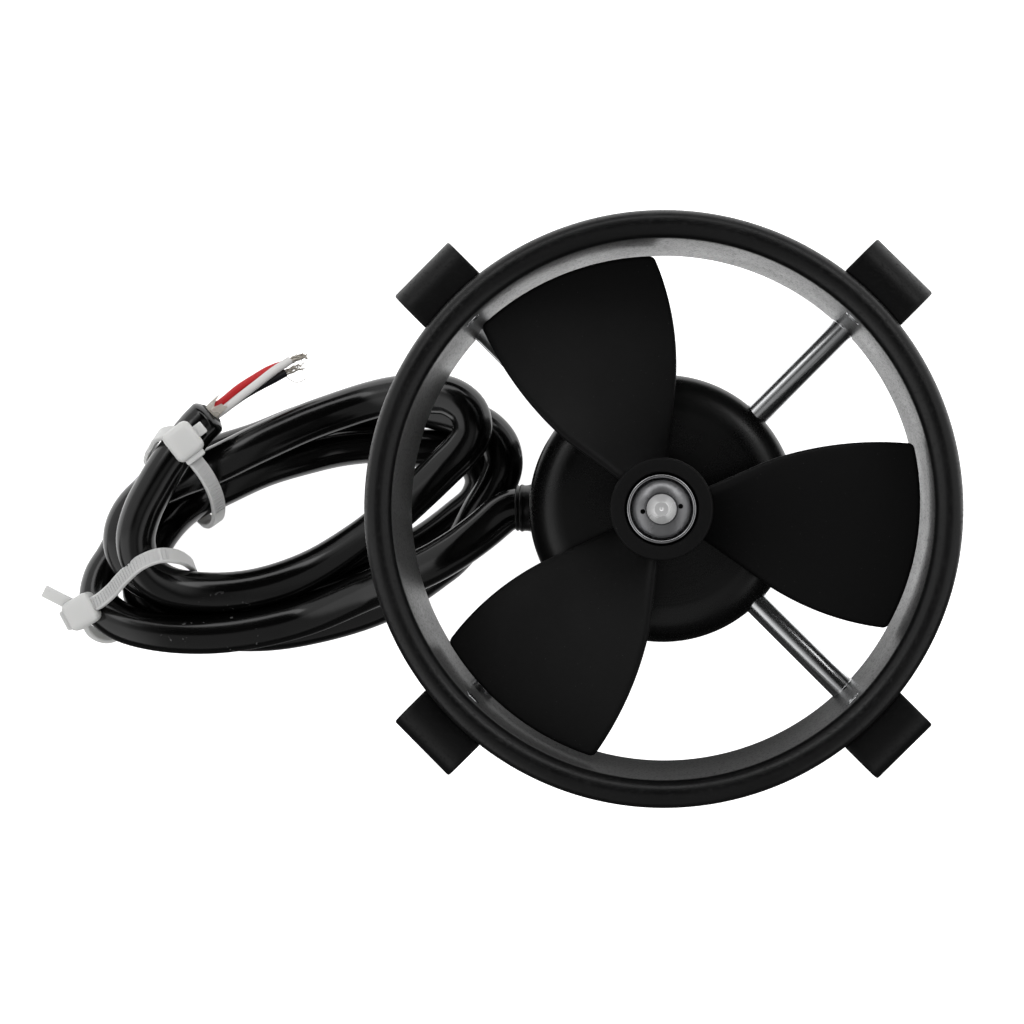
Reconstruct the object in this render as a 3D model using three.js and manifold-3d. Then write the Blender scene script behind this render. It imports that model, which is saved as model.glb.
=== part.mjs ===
// Propeller anemometer head: a three-bladed impeller turning in a short round duct, with its sensor
// body behind it and its signal cable coiled beside it.
// Millimetres, +Z up along the duct axis. The origin is the middle of the sensor body's flat rear face,
// on which the head stands, and the cable leaves the body towards -X.
import * as THREE from "three";
import { mergeVertices } from "three/addons/utils/BufferGeometryUtils.js";
import Module from "manifold-3d";

const wasm = await Module();
wasm.setup();

// ---- Driving dimensions -------------------------------------------------------------------------

const GAP = 0.3; // clearance between two pieces that touch or fit into each other
const RUNNING_GAP = 0.1; // radial clearance of the turning bearing rings in their shields
const QUARTER = Math.PI / 2;

const DUCT = { outer: 42, bore: 38.2, rear: 28, front: 56, rearRound: 0.8, sides: 48 };
const MOUNT_ANGLES = [45, 135, 225, 315];

const LUG = { width: 11, outer: 48.8, low: 28.4, high: 53.5, round: 4, tapRadius: 1.65, tapDepth: 4.3 };
const LUG_TAP_HEIGHT = 41;
const PIN = { radius: 1.2, inner: 38.35, outer: 45.6, height: 51 };
const STRUT = { radius: 1.9, inner: 10.5, outer: 43.8, height: 31.5 };

const SHELL = { outer: 20.2, cavity: 17.6, low: 4, front: 35.5, faceRadius: 14.5, shoulder: 3.5 };
const SHELL_BLOCK_LOW = 28; // underside of the solid nose that holds the struts
const BEARING_SEAT = { bore: 5, lip: 3, top: 32.8, tube: 7.3, tubeLow: 18.2 };

const BEARING = { outer: 5, shield: 2.5, inner: 2.4, length: 4 };
const FRONT_BEARING_LOW = 28.5;
const REAR_BEARING_LOW = 20;
const SHAFT = { radius: 1.5, low: 16.3, shoulder: 46.3, tipRadius: 0.9, high: 49.4 };
const MAGNET = { radius: 4, low: 15, high: 18.4 };

const HUB = { radius: 7.4, low: 37, high: 49.3, pocket: 5.3, pocketLow: 46.3 };
const BLADES = 3;
const BLADE = { root: 6, tip: 37.2, mid: 42.65, pitch: 62, rootThick: 1.6, tipThick: 0.9 };
const BLADE_HALF_ANGLE = { root: 30.3, tip: 20.8, taperFrom: 17, taperPower: 1.3 };
const IMPELLER_REST_ANGLE = -6.8;

const CUP = { outer: 5, lip: 4.45, low: 46.6, floor: 47.3, high: 49.5 };
const NUT = { base: 2.15, tip: 1.05, bore: 1.2, low: 47.8, collar: 48.9, high: 51.1, boreHigh: 49.7 };

const COVER = { plate: 3.7, spigot: 17.3, spigotHigh: 10, pocket: 14.5, pocketLow: 4.2 };
const COVER_GROOVE = { radius: 16, low: 8.2, high: 9.6 };
const COVER_SCREW = { radius: 1, height: 6.2, inner: 14.9, outer: 20 };
const COVER_SCREW_ANGLES = [30, 150, 270];

const BOARD = { radius: 16.8, low: 11.3, high: 12.9, screwCircle: 11, bossRadius: 2.4, screwRadius: 1 };
const BOARD_SCREW_ANGLES = [90, 210, 330];

const CABLE = { radius: 3.15, sides: 10 };
const GLAND = { height: 21.5, bore: 3.45, neck: 4.2, flange: 4.85, inner: 13.7, outer: 22.2 };
const GLAND_NUT = { radius: 5.4, thick: 2.2, middle: 15.1 };

const COIL = { centre: [-59.3, -1.3], turn: 16, straight: 38.4, outer: 18.2, band: 13.4, height: 12.6 };
const TIE = { width: 2.5, thick: 1.1, head: [5.6, 5.4, 4.6] };
// Where each tie crosses the band: the centre of its bend along the coil, the way it points, and its
// head's place across the band and up.
const TIE_PLACES = [
  { along: -14.6, degrees: 90, head: [4, 15.2] },
  { along: -19.2, degrees: 195, head: [9.8, 8.15] },
];

// The uncoiled lead, from the gland down onto the coil.
const LEAD_ROUTE = [
  [-22.5, 0, 21.5], [-23.3, -0.1, 21.5], [-24.6, -0.7, 21.4], [-25.9, -1.7, 21.2], [-27.2, -2.8, 20.9],
  [-28.6, -3.9, 20.5], [-30.1, -5, 20], [-31.7, -6.1, 19.4], [-33.3, -7.1, 18.8], [-35, -8.1, 18.2],
  [-36.7, -9, 17.6], [-38.4, -9.8, 17], [-40.1, -10.5, 16.6], [-41.8, -11.1, 16.3], [-42.6, -11.4, 16.2],
];
// The end of the jacket, which leaves the coil beside the first tie's head.
const TAIL_ROUTE = [
  [-73.6, 12.9, 16.1], [-72.9, 13.6, 16.1], [-72.2, 14.3, 16.1], [-71.5, 15, 16.1],
];
// Where each core leaves the jacket and where its insulation ends.
const CORES = [
  { name: "wire_red", colour: 0xc0141e, from: [-72, 16.2, 16.5], to: [-60.9, 23.9, 9.5] },
  { name: "wire_white", colour: 0xe8e6e0, from: [-70.4, 14.6, 16.7], to: [-59, 23.9, 11.8] },
  { name: "wire_black", colour: 0x15151a, from: [-71.1, 15.4, 14.9], to: [-60.2, 21.2, 8.2] },
];
const CORE_RADIUS = 0.7;

// ---- Finishes -----------------------------------------------------------------------------------

const finish = (color, roughness, metalness) => new THREE.MeshStandardMaterial({ color, roughness, metalness });
const BLACK_ANODISED = finish(0x16171a, 0.35, 0.6);
const STAINLESS = finish(0xc9cbce, 0.15, 1);
const BRIGHT_METAL = finish(0xd6d8da, 0.12, 1);
const BEARING_STEEL = finish(0x9a9ea3, 0.25, 1);
const BLACK_NYLON = finish(0x1b1b1d, 0.6, 0);
const BLACK_RUBBER = finish(0x101012, 0.8, 0);
const BLACK_PVC = finish(0x0e0e10, 0.22, 0);
const NATURAL_NYLON = finish(0xe9eae6, 0.4, 0);
const BOARD_GREEN = finish(0x1f6b3a, 0.5, 0);
const CHIP_BLACK = finish(0x202022, 0.5, 0);
const TERMINAL_BLUE = finish(0x2b5fa8, 0.5, 0);
const FERRITE = finish(0x3a3a3d, 0.6, 0.3);
const BRASS = finish(0xb08d4a, 0.3, 1);

// ---- Shape helpers ------------------------------------------------------------------------------

const radians = THREE.MathUtils.degToRad;

// A profile of [radius, height] points, from the axis round to the axis, turned about Z.
function turned(profile, sides = 24) {
  const points = profile.map(([radius, height]) => new THREE.Vector2(radius, height));
  return new THREE.LatheGeometry(points, sides).rotateX(QUARTER);
}

// A profile that goes round a hollow and closes on itself, turned about Z.
function hollowTurned(profile, sides = 24) {
  return turned([...profile, profile[0]], sides);
}

function disc(radius, low, high, sides = 24) {
  return turned([[0, low], [radius, low], [radius, high], [0, high]], sides);
}

function ring(inner, outer, low, high, sides = 20) {
  return hollowTurned([[inner, low], [outer, low], [outer, high], [inner, high]], sides);
}

// The points of an elliptical arc in a turned profile, in degrees from outwards towards up.
function arc(centre, radii, from, to, steps) {
  return Array.from({ length: steps + 1 }, (_, i) => {
    const angle = radians(THREE.MathUtils.lerp(from, to, i / steps));
    return [centre[0] + radii[0] * Math.cos(angle), centre[1] + radii[1] * Math.sin(angle)];
  });
}

// A round bar that points outwards from the axis at one angle and height.
function radialBar(radius, inner, outer, height, degrees, sides = 12) {
  return new THREE.CylinderGeometry(radius, radius, outer - inner, sides)
    .rotateZ(-QUARTER)
    .translate((inner + outer) / 2, 0, height)
    .rotateZ(radians(degrees));
}

function block(size, centre) {
  return new THREE.BoxGeometry(...size).translate(...centre);
}

// A round bar along a list of points.
function tube(points, radius, sides, steps) {
  const path = new THREE.CatmullRomCurve3(points.map((point) => new THREE.Vector3(...point)));
  const section = new THREE.Shape().absarc(0, 0, radius, 0, 2 * Math.PI);
  return new THREE.ExtrudeGeometry(section, { extrudePath: path, steps, curveSegments: sides / 2 });
}

// A closed geometry as a solid that can be cut and joined.
function solid(geometry) {
  const bare = geometry.clone();
  bare.deleteAttribute("normal");
  bare.deleteAttribute("uv");
  const merged = mergeVertices(bare);
  const vertProperties = merged.attributes.position.array;
  const triVerts = new Uint32Array(merged.index.array);
  return new wasm.Manifold(new wasm.Mesh({ numProp: 3, vertProperties, triVerts }));
}

function geometryOf(body) {
  const mesh = body.getMesh();
  const geometry = new THREE.BufferGeometry();
  geometry.setAttribute("position", new THREE.BufferAttribute(mesh.vertProperties, 3));
  geometry.setIndex(new THREE.BufferAttribute(mesh.triVerts, 1));
  return geometry;
}

function cut(geometry, cutters) {
  return geometryOf(cutters.reduce((body, cutter) => body.subtract(solid(cutter)), solid(geometry)));
}

function joined(geometries) {
  return geometryOf(geometries.slice(1).reduce((body, next) => body.add(solid(next)), solid(geometries[0])));
}

const head = new THREE.Group();

function add(name, geometry, material) {
  const mesh = new THREE.Mesh(geometry, material);
  mesh.name = name;
  head.add(mesh);
  return mesh;
}

// ---- Duct, lugs, pins and struts ----------------------------------------------------------------

function ductRing() {
  const middle = (DUCT.outer + DUCT.bore) / 2;
  const lip = (DUCT.outer - DUCT.bore) / 2;
  const round = DUCT.rearRound;
  const profile = [
    ...arc([DUCT.bore + round, DUCT.rear + round], [round, round], 180, 270, 2),
    ...arc([DUCT.outer - round, DUCT.rear + round], [round, round], 270, 360, 2),
    ...arc([middle, DUCT.front - lip], [lip, lip], 0, 180, 6),
  ];
  const holes = MOUNT_ANGLES.flatMap((angle) => [
    radialBar(STRUT.radius + GAP, DUCT.bore - 1, DUCT.outer + 1, STRUT.height, angle),
    radialBar(PIN.radius + GAP, DUCT.bore - 1, DUCT.outer + 1, PIN.height, angle, 8),
  ]);
  return cut(hollowTurned(profile, DUCT.sides), holes);
}

// A block that sits on the duct wall, rounded at its outer edges, tapped on its outer face.
function mountLug() {
  const half = LUG.outer - LUG.round;
  const side = new THREE.Shape();
  side.moveTo(DUCT.bore, LUG.low);
  side.lineTo(half, LUG.low);
  side.absarc(half, LUG.low + LUG.round, LUG.round, -QUARTER, 0);
  side.absarc(half, LUG.high - LUG.round, LUG.round, 0, QUARTER);
  side.lineTo(DUCT.bore, LUG.high);
  const options = { depth: LUG.width, bevelEnabled: false, curveSegments: 3 };
  const bar = new THREE.ExtrudeGeometry(side, options).rotateX(QUARTER).translate(0, LUG.width / 2, 0);
  return cut(bar, [
    disc(DUCT.outer + GAP, LUG.low - 1, LUG.high + 1, DUCT.sides),
    radialBar(STRUT.radius + GAP, DUCT.bore, STRUT.outer + GAP, STRUT.height, 0),
    radialBar(PIN.radius + GAP, DUCT.bore, PIN.outer + GAP, PIN.height, 0, 8),
    radialBar(LUG.tapRadius, LUG.outer - LUG.tapDepth, LUG.outer + 1, LUG_TAP_HEIGHT, 0),
  ]);
}

function addDuct() {
  add("duct_ring", ductRing(), BLACK_ANODISED);
  MOUNT_ANGLES.forEach((angle, i) => {
    add(`mount_lug_${i + 1}`, mountLug(), BLACK_ANODISED).rotation.z = radians(angle);
    add(`lug_pin_${i + 1}`, radialBar(PIN.radius, PIN.inner, PIN.outer, PIN.height, angle, 8), STAINLESS);
    add(`strut_${i + 1}`, radialBar(STRUT.radius, STRUT.inner, STRUT.outer, STRUT.height, angle), STAINLESS);
  });
}

// ---- Sensor body --------------------------------------------------------------------------------

function bodyShell() {
  const seat = BEARING_SEAT;
  const shoulderRadii = [SHELL.outer - SHELL.faceRadius, SHELL.shoulder];
  const profile = [
    [SHELL.cavity, SHELL.low], [SHELL.outer, SHELL.low],
    ...arc([SHELL.faceRadius, SHELL.front - SHELL.shoulder], shoulderRadii, 0, 90, 4),
    [seat.lip, SHELL.front], [seat.lip, seat.top], [seat.bore + GAP, seat.top],
    [seat.bore + GAP, seat.tubeLow], [seat.tube, seat.tubeLow], [seat.tube, SHELL_BLOCK_LOW],
    [SHELL.cavity, SHELL_BLOCK_LOW],
  ];
  const strutHoles = MOUNT_ANGLES.map((angle) =>
    radialBar(STRUT.radius + GAP, STRUT.inner - GAP, SHELL.outer + 1, STRUT.height, angle));
  const screwHoles = COVER_SCREW_ANGLES.map((angle) =>
    radialBar(COVER_SCREW.radius + GAP, SHELL.cavity - 1, SHELL.outer + 1, COVER_SCREW.height, angle, 8));
  const glandHole = radialBar(GLAND.neck + GAP, SHELL.cavity - 2, SHELL.outer + 1, GLAND.height, 180, 16);
  return cut(hollowTurned(profile, 40), [...strutHoles, ...screwHoles, glandHole]);
}

function rearCover() {
  const edge = 0.5;
  const profile = [
    [0, 0], [SHELL.outer - edge, 0], [SHELL.outer, edge], [SHELL.outer, COVER.plate],
    [COVER.spigot, COVER.plate], [COVER.spigot, COVER_GROOVE.low], [COVER_GROOVE.radius, COVER_GROOVE.low],
    [COVER_GROOVE.radius, COVER_GROOVE.high], [COVER.spigot, COVER_GROOVE.high],
    [COVER.spigot, COVER.spigotHigh], [COVER.pocket, COVER.spigotHigh], [COVER.pocket, COVER.pocketLow],
    [0, COVER.pocketLow],
  ];
  const bossHigh = BOARD.low - GAP;
  const onCircle = (geometry, degrees) =>
    geometry.translate(BOARD.screwCircle, 0, 0).rotateZ(radians(degrees));
  const bosses = BOARD_SCREW_ANGLES.map((angle) =>
    onCircle(disc(BOARD.bossRadius, COVER.pocketLow - 1, bossHigh, 12), angle));
  const tappings = BOARD_SCREW_ANGLES.map((angle) =>
    onCircle(disc(BOARD.screwRadius + GAP, COVER.pocketLow + 1, bossHigh + 1, 8), angle));
  const screwHoles = COVER_SCREW_ANGLES.map((angle) =>
    radialBar(COVER_SCREW.radius + GAP, COVER.pocket - 0.5, SHELL.outer, COVER_SCREW.height, angle, 8));
  return cut(joined([turned(profile, 40), ...bosses]), [...tappings, ...screwHoles]);
}

function coverORing() {
  const middle = [COVER_GROOVE.radius + 0.8, (COVER_GROOVE.low + COVER_GROOVE.high) / 2];
  return turned(arc(middle, [0.4, 0.4], 0, 360, 6), 32);
}

function addCover() {
  add("rear_cover", rearCover(), BLACK_ANODISED);
  add("cover_o_ring", coverORing(), BLACK_RUBBER);
  COVER_SCREW_ANGLES.forEach((angle, i) => {
    const { radius, inner, outer, height } = COVER_SCREW;
    add(`cover_screw_${i + 1}`, radialBar(radius, inner, outer, height, angle, 8), STAINLESS);
  });
}

// ---- Bearings -----------------------------------------------------------------------------------

// The fixed ring of a shielded ball bearing, with its shields reaching in to the turning ring.
function bearingOuter(low) {
  return ring(BEARING.shield, BEARING.outer, low, low + BEARING.length);
}

function bearingInner(low) {
  return ring(SHAFT.radius + GAP / 2, BEARING.shield - RUNNING_GAP, low, low + BEARING.length);
}

function addBearings() {
  const rearHigh = REAR_BEARING_LOW + BEARING.length;
  add("front_bearing_outer", bearingOuter(FRONT_BEARING_LOW), BEARING_STEEL);
  add("front_bearing_inner", bearingInner(FRONT_BEARING_LOW), BEARING_STEEL);
  add("rear_bearing_outer", bearingOuter(REAR_BEARING_LOW), BEARING_STEEL);
  add("rear_bearing_inner", bearingInner(REAR_BEARING_LOW), BEARING_STEEL);
  add("bearing_spacer", ring(3.9, BEARING.outer, rearHigh + GAP, FRONT_BEARING_LOW - GAP), BRASS);
  add("bearing_circlip", ring(4.1, BEARING.outer, REAR_BEARING_LOW - 1.1, REAR_BEARING_LOW - GAP),
    BEARING_STEEL);
}

// ---- Rotor --------------------------------------------------------------------------------------

function bladeHalfAngle(radius) {
  const { root, tip, taperFrom, taperPower } = BLADE_HALF_ANGLE;
  const outwards = THREE.MathUtils.clamp((radius - taperFrom) / (BLADE.tip - taperFrom), 0, 1);
  return root - (root - tip) * outwards ** taperPower;
}

// One blade, a sheet of constant pitch that narrows and thins towards the tip. A box is bent into it:
// its X runs from root to tip, its Y from the trailing to the leading edge, its Z through the sheet.
function blade(degrees) {
  const geometry = new THREE.BoxGeometry(1, 1, 1, 7, 6, 1);
  const position = geometry.attributes.position;
  for (let i = 0; i < position.count; i++) {
    const along = position.getX(i) + 0.5;
    const radius = THREE.MathUtils.lerp(BLADE.root, BLADE.tip, along);
    const turn = 2 * position.getY(i) * bladeHalfAngle(radius);
    const thick = THREE.MathUtils.lerp(BLADE.rootThick, BLADE.tipThick, along);
    const height = BLADE.mid + (BLADE.pitch * turn) / 360 + position.getZ(i) * thick;
    const angle = radians(degrees + turn);
    position.setXYZ(i, radius * Math.cos(angle), radius * Math.sin(angle), height);
  }
  return geometry;
}

function impeller() {
  const round = 0.5;
  const hub = turned([
    [0, HUB.low], [HUB.radius, HUB.low], [HUB.radius, HUB.high - round],
    [HUB.radius - round, HUB.high], [0, HUB.high],
  ], 40);
  const blades = Array.from({ length: BLADES }, (_, i) => blade(IMPELLER_REST_ANGLE + (360 / BLADES) * i));
  return cut(joined([hub, ...blades]), [
    disc(HUB.pocket, HUB.pocketLow, HUB.high + 1),
    disc(SHAFT.radius + GAP, HUB.low - 1, HUB.high + 1, 16),
  ]);
}

function hubCup() {
  const profile = [
    [SHAFT.tipRadius + GAP, CUP.low], [CUP.outer, CUP.low], [CUP.outer, CUP.high], [CUP.lip, CUP.high],
    ...arc([2.6, CUP.high - 0.3], [CUP.lip - 2.6, CUP.high - 0.3 - CUP.floor], 0, -90, 4),
    [SHAFT.tipRadius + GAP, CUP.floor],
  ];
  return hollowTurned(profile, 24);
}

function noseNut() {
  const profile = [
    [0, NUT.boreHigh], [NUT.bore, NUT.boreHigh], [NUT.bore, NUT.low], [NUT.base, NUT.low],
    [NUT.base, NUT.collar], [NUT.tip, NUT.high], [0, NUT.high],
  ];
  return turned(profile, 16);
}

function rotorShaft() {
  return turned([
    [0, SHAFT.low], [SHAFT.radius, SHAFT.low], [SHAFT.radius, SHAFT.shoulder],
    [SHAFT.tipRadius, SHAFT.shoulder], [SHAFT.tipRadius, SHAFT.high], [0, SHAFT.high],
  ], 16);
}

function sensorMagnet() {
  const bore = SHAFT.radius + GAP;
  const floor = SHAFT.low - GAP;
  return turned([
    [0, MAGNET.low], [MAGNET.radius, MAGNET.low], [MAGNET.radius, MAGNET.high], [bore, MAGNET.high],
    [bore, floor], [0, floor],
  ], 16);
}

function addRotor() {
  const spacerLow = FRONT_BEARING_LOW + BEARING.length + GAP;
  const bore = SHAFT.radius + GAP;
  add("impeller", impeller(), BLACK_NYLON);
  add("hub_cup", hubCup(), BRIGHT_METAL);
  add("nose_nut", noseNut(), BRIGHT_METAL);
  add("rotor_shaft", rotorShaft(), STAINLESS);
  add("shaft_spacer", ring(bore, BEARING_SEAT.lip - GAP, spacerLow, HUB.low - GAP), BRASS);
  add("shaft_collar", ring(bore, 2.7, MAGNET.high + GAP, REAR_BEARING_LOW - GAP), BRASS);
  add("sensor_magnet", sensorMagnet(), FERRITE);
}

// ---- Electronics --------------------------------------------------------------------------------

function addElectronics() {
  const onBoard = BOARD.high + GAP;
  const onCircle = (geometry, degrees) =>
    geometry.translate(BOARD.screwCircle, 0, 0).rotateZ(radians(degrees));
  const holes = BOARD_SCREW_ANGLES.map((angle) =>
    onCircle(disc(BOARD.screwRadius + GAP, BOARD.low - 1, BOARD.high + 1, 8), angle));
  add("sensor_board", cut(disc(BOARD.radius, BOARD.low, BOARD.high, 32), holes), BOARD_GREEN);
  add("hall_sensor", block([4.2, 3.2, 1.1], [0, 0, onBoard + 0.55]), CHIP_BLACK);
  add("terminal_block", block([5.4, 6, 4], [-11, 0, onBoard + 2]), TERMINAL_BLUE);
  BOARD_SCREW_ANGLES.forEach((angle, i) => {
    const profile = [
      [0, COVER.pocketLow + 2.5], [BOARD.screwRadius, COVER.pocketLow + 2.5], [BOARD.screwRadius, onBoard],
      [1.9, onBoard], [1.9, onBoard + 1.2], [0, onBoard + 1.2],
    ];
    add(`board_screw_${i + 1}`, onCircle(turned(profile, 8), angle), STAINLESS);
  });
}

// ---- Cable gland --------------------------------------------------------------------------------

// Turns a shape made about +Z, with heights as distances from the axis, to point towards -X.
function towardsCable(geometry) {
  return geometry.rotateY(-QUARTER).translate(0, 0, GLAND.height);
}

// A flanged collar through the body wall, its flange seated on the round of the body.
function cableGland() {
  const flange = hollowTurned([
    [GLAND.bore, 19], [GLAND.flange, 19], [GLAND.flange, 21.2], [4.4, 21.9], [3.8, GLAND.outer],
    [GLAND.bore, GLAND.outer],
  ], 16);
  const seated = cut(towardsCable(flange), [disc(SHELL.outer + GAP, 10, 32, 40)]);
  return joined([seated, towardsCable(ring(GLAND.bore, GLAND.neck, GLAND.inner, 21, 16))]);
}

function glandNut() {
  const { radius, thick, middle } = GLAND_NUT;
  const hexagon = new THREE.CylinderGeometry(radius, radius, thick, 6).rotateX(QUARTER);
  return towardsCable(cut(hexagon.translate(0, 0, middle), [disc(GLAND.neck + GAP, 10, 20, 16)]));
}

function addGland() {
  add("cable_gland", cableGland(), BLACK_NYLON);
  add("gland_nut", glandNut(), BLACK_NYLON);
  add("inner_cable", towardsCable(disc(CABLE.radius, 10, GLAND.outer - GAP, 12)), BLACK_PVC);
}

// ---- Cable, coil, ties and cores ----------------------------------------------------------------

// Traces an oblong with round ends.
function oblong(path, radius) {
  const end = COIL.straight / 2;
  path.absarc(end, 0, radius, -QUARTER, QUARTER);
  path.absarc(-end, 0, radius, QUARTER, 3 * QUARTER);
  path.closePath();
  return path;
}

// The outer shape of the coiled turns: an oblong band.
function coilBand() {
  const bevel = 1.5;
  const outline = oblong(new THREE.Shape(), COIL.outer);
  outline.holes.push(oblong(new THREE.Path(), COIL.outer - COIL.band));
  const options = {
    depth: COIL.height - 2 * bevel, curveSegments: 8,
    bevelSize: bevel, bevelOffset: -bevel, bevelThickness: bevel, bevelSegments: 2,
  };
  return new THREE.ExtrudeGeometry(outline, options).translate(0, 0, bevel);
}

// Places a shape made about the middle of the band where a tie crosses it, with its X across the band.
function acrossBand(geometry, { along, degrees }) {
  return geometry
    .translate(COIL.outer - COIL.band / 2, 0, 0)
    .rotateZ(radians(degrees))
    .translate(along, 0, 0);
}

function toCoilPlace(geometry) {
  return geometry.rotateZ(radians(COIL.turn)).translate(...COIL.centre, 0);
}

function cableCoil() {
  const notchHeight = TIE.thick + GAP;
  const notches = TIE_PLACES.map((place) =>
    acrossBand(block([COIL.band + 4, TIE.width + 2 * GAP, 2 * notchHeight], [0, 0, 0]), place));
  return toCoilPlace(cut(coilBand(), notches));
}

// A strap closed round the band, with its head on it.
function cableTie(place) {
  const inside = [COIL.band + 2 * GAP, COIL.height - TIE.thick];
  const middle = TIE.thick + GAP + (COIL.height - TIE.thick) / 2;
  const outside = [inside[0] + 2 * TIE.thick, COIL.height + GAP + TIE.thick];
  const strap = cut(block([outside[0], TIE.width, outside[1]], [0, 0, outside[1] / 2]), [
    block([inside[0], TIE.width + 2, inside[1]], [0, 0, middle]),
  ]);
  const [across, height] = place.head;
  const strapHead = block(TIE.head, [across, 0, height]);
  return toCoilPlace(acrossBand(joined([strap, strapHead]), place));
}

function addCable() {
  add("cable_lead", tube(LEAD_ROUTE, CABLE.radius, CABLE.sides, 8), BLACK_PVC);
  add("cable_coil", cableCoil(), BLACK_PVC);
  add("cable_tail", tube(TAIL_ROUTE, CABLE.radius, CABLE.sides, 4), BLACK_PVC);
  TIE_PLACES.forEach((place, i) => add(`cable_tie_${i + 1}`, cableTie(place), NATURAL_NYLON));
  CORES.forEach(({ name, colour, from, to }) => {
    add(name, tube([from, to], CORE_RADIUS, 8, 2), finish(colour, 0.35, 0));
  });
}

addDuct();
add("body_shell", bodyShell(), BLACK_ANODISED);
addCover();
addBearings();
addRotor();
addElectronics();
addGland();
addCable();

export default head;
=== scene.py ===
"""Finished look of a propeller anemometer head: a bladed rotor in a short duct, on a coiled signal cable.

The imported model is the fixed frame. Sizes in the classes are millimetres and are turned into metres
where a mesh is made. The duct axis is +Z and the cable leaves the sensor body towards -X.
"""

import logging
import math
from dataclasses import dataclass
from enum import Enum

import bmesh
import bpy
from mathutils import Euler, Matrix, Vector


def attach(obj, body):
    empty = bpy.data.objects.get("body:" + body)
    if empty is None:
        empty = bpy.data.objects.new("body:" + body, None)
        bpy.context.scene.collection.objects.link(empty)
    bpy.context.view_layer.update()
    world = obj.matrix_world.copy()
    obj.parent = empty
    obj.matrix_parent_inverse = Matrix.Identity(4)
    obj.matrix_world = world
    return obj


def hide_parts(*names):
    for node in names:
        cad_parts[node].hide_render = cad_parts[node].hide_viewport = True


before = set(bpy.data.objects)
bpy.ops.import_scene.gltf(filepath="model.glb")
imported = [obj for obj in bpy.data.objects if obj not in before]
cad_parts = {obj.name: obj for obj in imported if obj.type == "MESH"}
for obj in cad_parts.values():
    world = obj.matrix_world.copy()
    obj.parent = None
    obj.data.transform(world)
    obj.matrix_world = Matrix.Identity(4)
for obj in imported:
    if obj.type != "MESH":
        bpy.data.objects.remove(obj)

log = logging.getLogger("anemometer")

MM = 0.001
ARM_ANGLES = (45, 135, 225, 315)
STRUT_HEIGHT = 31.5

Point2 = tuple[float, float]
Point3 = tuple[float, float, float]
Colour = tuple[float, float, float]


class Body(Enum):
    """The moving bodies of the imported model."""

    ROOT = "root"
    ROTOR = "rotor"


class Slot(Enum):
    """The record's material slots."""

    ANODISED = "black_anodised"
    STAINLESS = "stainless"
    BRIGHT = "bright_cup"
    BEARING = "bearing_steel"
    IMPELLER = "impeller_black"
    RUBBER = "rubber_black"
    JACKET = "cable_black"
    GLAND = "gland_black"
    NYLON = "nylon_natural"
    RED = "core_red"
    WHITE = "core_white"
    BLACK = "core_black"
    BOARD = "board_green"
    CHIP = "chip_black"
    TERMINAL = "terminal_blue"
    FERRITE = "ferrite"
    BRASS = "brass"


# Mesh helpers


def arc(centre: Point2, radii: Point2, start: float, end: float, steps: int) -> list[Point2]:
    """Points of an elliptical arc in a turned profile.

    Args:
        centre: Radius and height of the arc's centre.
        radii: Its radius outwards and its radius upwards.
        start: First angle in degrees, from outwards towards up.
        end: Last angle in degrees.
        steps: Number of chords.

    Returns:
        The points, as radius and height.
    """
    points = []
    for i in range(steps + 1):
        angle = math.radians(start + (end - start) * i / steps)
        points.append((centre[0] + radii[0] * math.cos(angle), centre[1] + radii[1] * math.sin(angle)))
    return points


def linked(name: str, data: bpy.types.ID) -> bpy.types.Object:
    """Makes an object of some data, links it to the scene and returns it."""
    made = bpy.data.objects.new(name, data)
    bpy.context.scene.collection.objects.link(made)
    return made


def mesh_object(name: str, points: list[Vector], faces: list[tuple[int, ...]]) -> bpy.types.Object:
    """Makes an object from points in millimetres, with its faces turned outwards.

    Args:
        name: The object's name.
        points: Vertices in millimetres.
        faces: Vertex numbers of each face.

    Returns:
        The new object, linked to the scene.
    """
    mesh = bpy.data.meshes.new(name)
    mesh.from_pydata([Vector(p) * MM for p in points], [], faces)
    work = bmesh.new()
    work.from_mesh(mesh)
    bmesh.ops.remove_doubles(work, verts=work.verts, dist=1e-7)
    bmesh.ops.recalc_face_normals(work, faces=work.faces)
    work.to_mesh(mesh)
    work.free()
    return linked(name, mesh)


def lathe(name: str, profile: list[Point2], sides: int, hollow: bool = False) -> bpy.types.Object:
    """Turns a profile about Z.

    Args:
        name: The object's name.
        profile: Radius and height of each point; it starts and ends on the axis unless it is hollow.
        sides: Number of flats round the axis.
        hollow: True for a profile that goes round a hollow and closes on itself.

    Returns:
        The closed solid.
    """
    points, rings, faces = [], [], []
    for radius, height in profile:
        if radius < 1e-6:
            rings.append([len(points)])
            points.append(Vector((0, 0, height)))
            continue
        rings.append(list(range(len(points), len(points) + sides)))
        for i in range(sides):
            turn = 2 * math.pi * i / sides
            points.append(Vector((radius * math.cos(turn), radius * math.sin(turn), height)))
    pairs = list(zip(rings, rings[1:]))
    if hollow:
        pairs.append((rings[-1], rings[0]))
    for low, high in pairs:
        if len(low) == 1 and len(high) == 1:
            continue
        for i in range(sides):
            j = (i + 1) % sides
            if len(low) == 1:
                faces.append((low[0], high[j], high[i]))
            elif len(high) == 1:
                faces.append((low[i], low[j], high[0]))
            else:
                faces.append((low[i], low[j], high[j], high[i]))
    return mesh_object(name, points, faces)


def rod(radius: float, low: float, high: float, sides: int) -> bpy.types.Object:
    """A plain round cutter along +Z, from one height to another, in millimetres."""
    return lathe("hole", [(0, low), (radius, low), (radius, high), (0, high)], sides)


def placed(made: bpy.types.Object, matrix: Matrix) -> bpy.types.Object:
    """Moves an object's mesh by a matrix whose offset is in metres, and returns the object."""
    made.data.transform(matrix)
    return made


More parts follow.
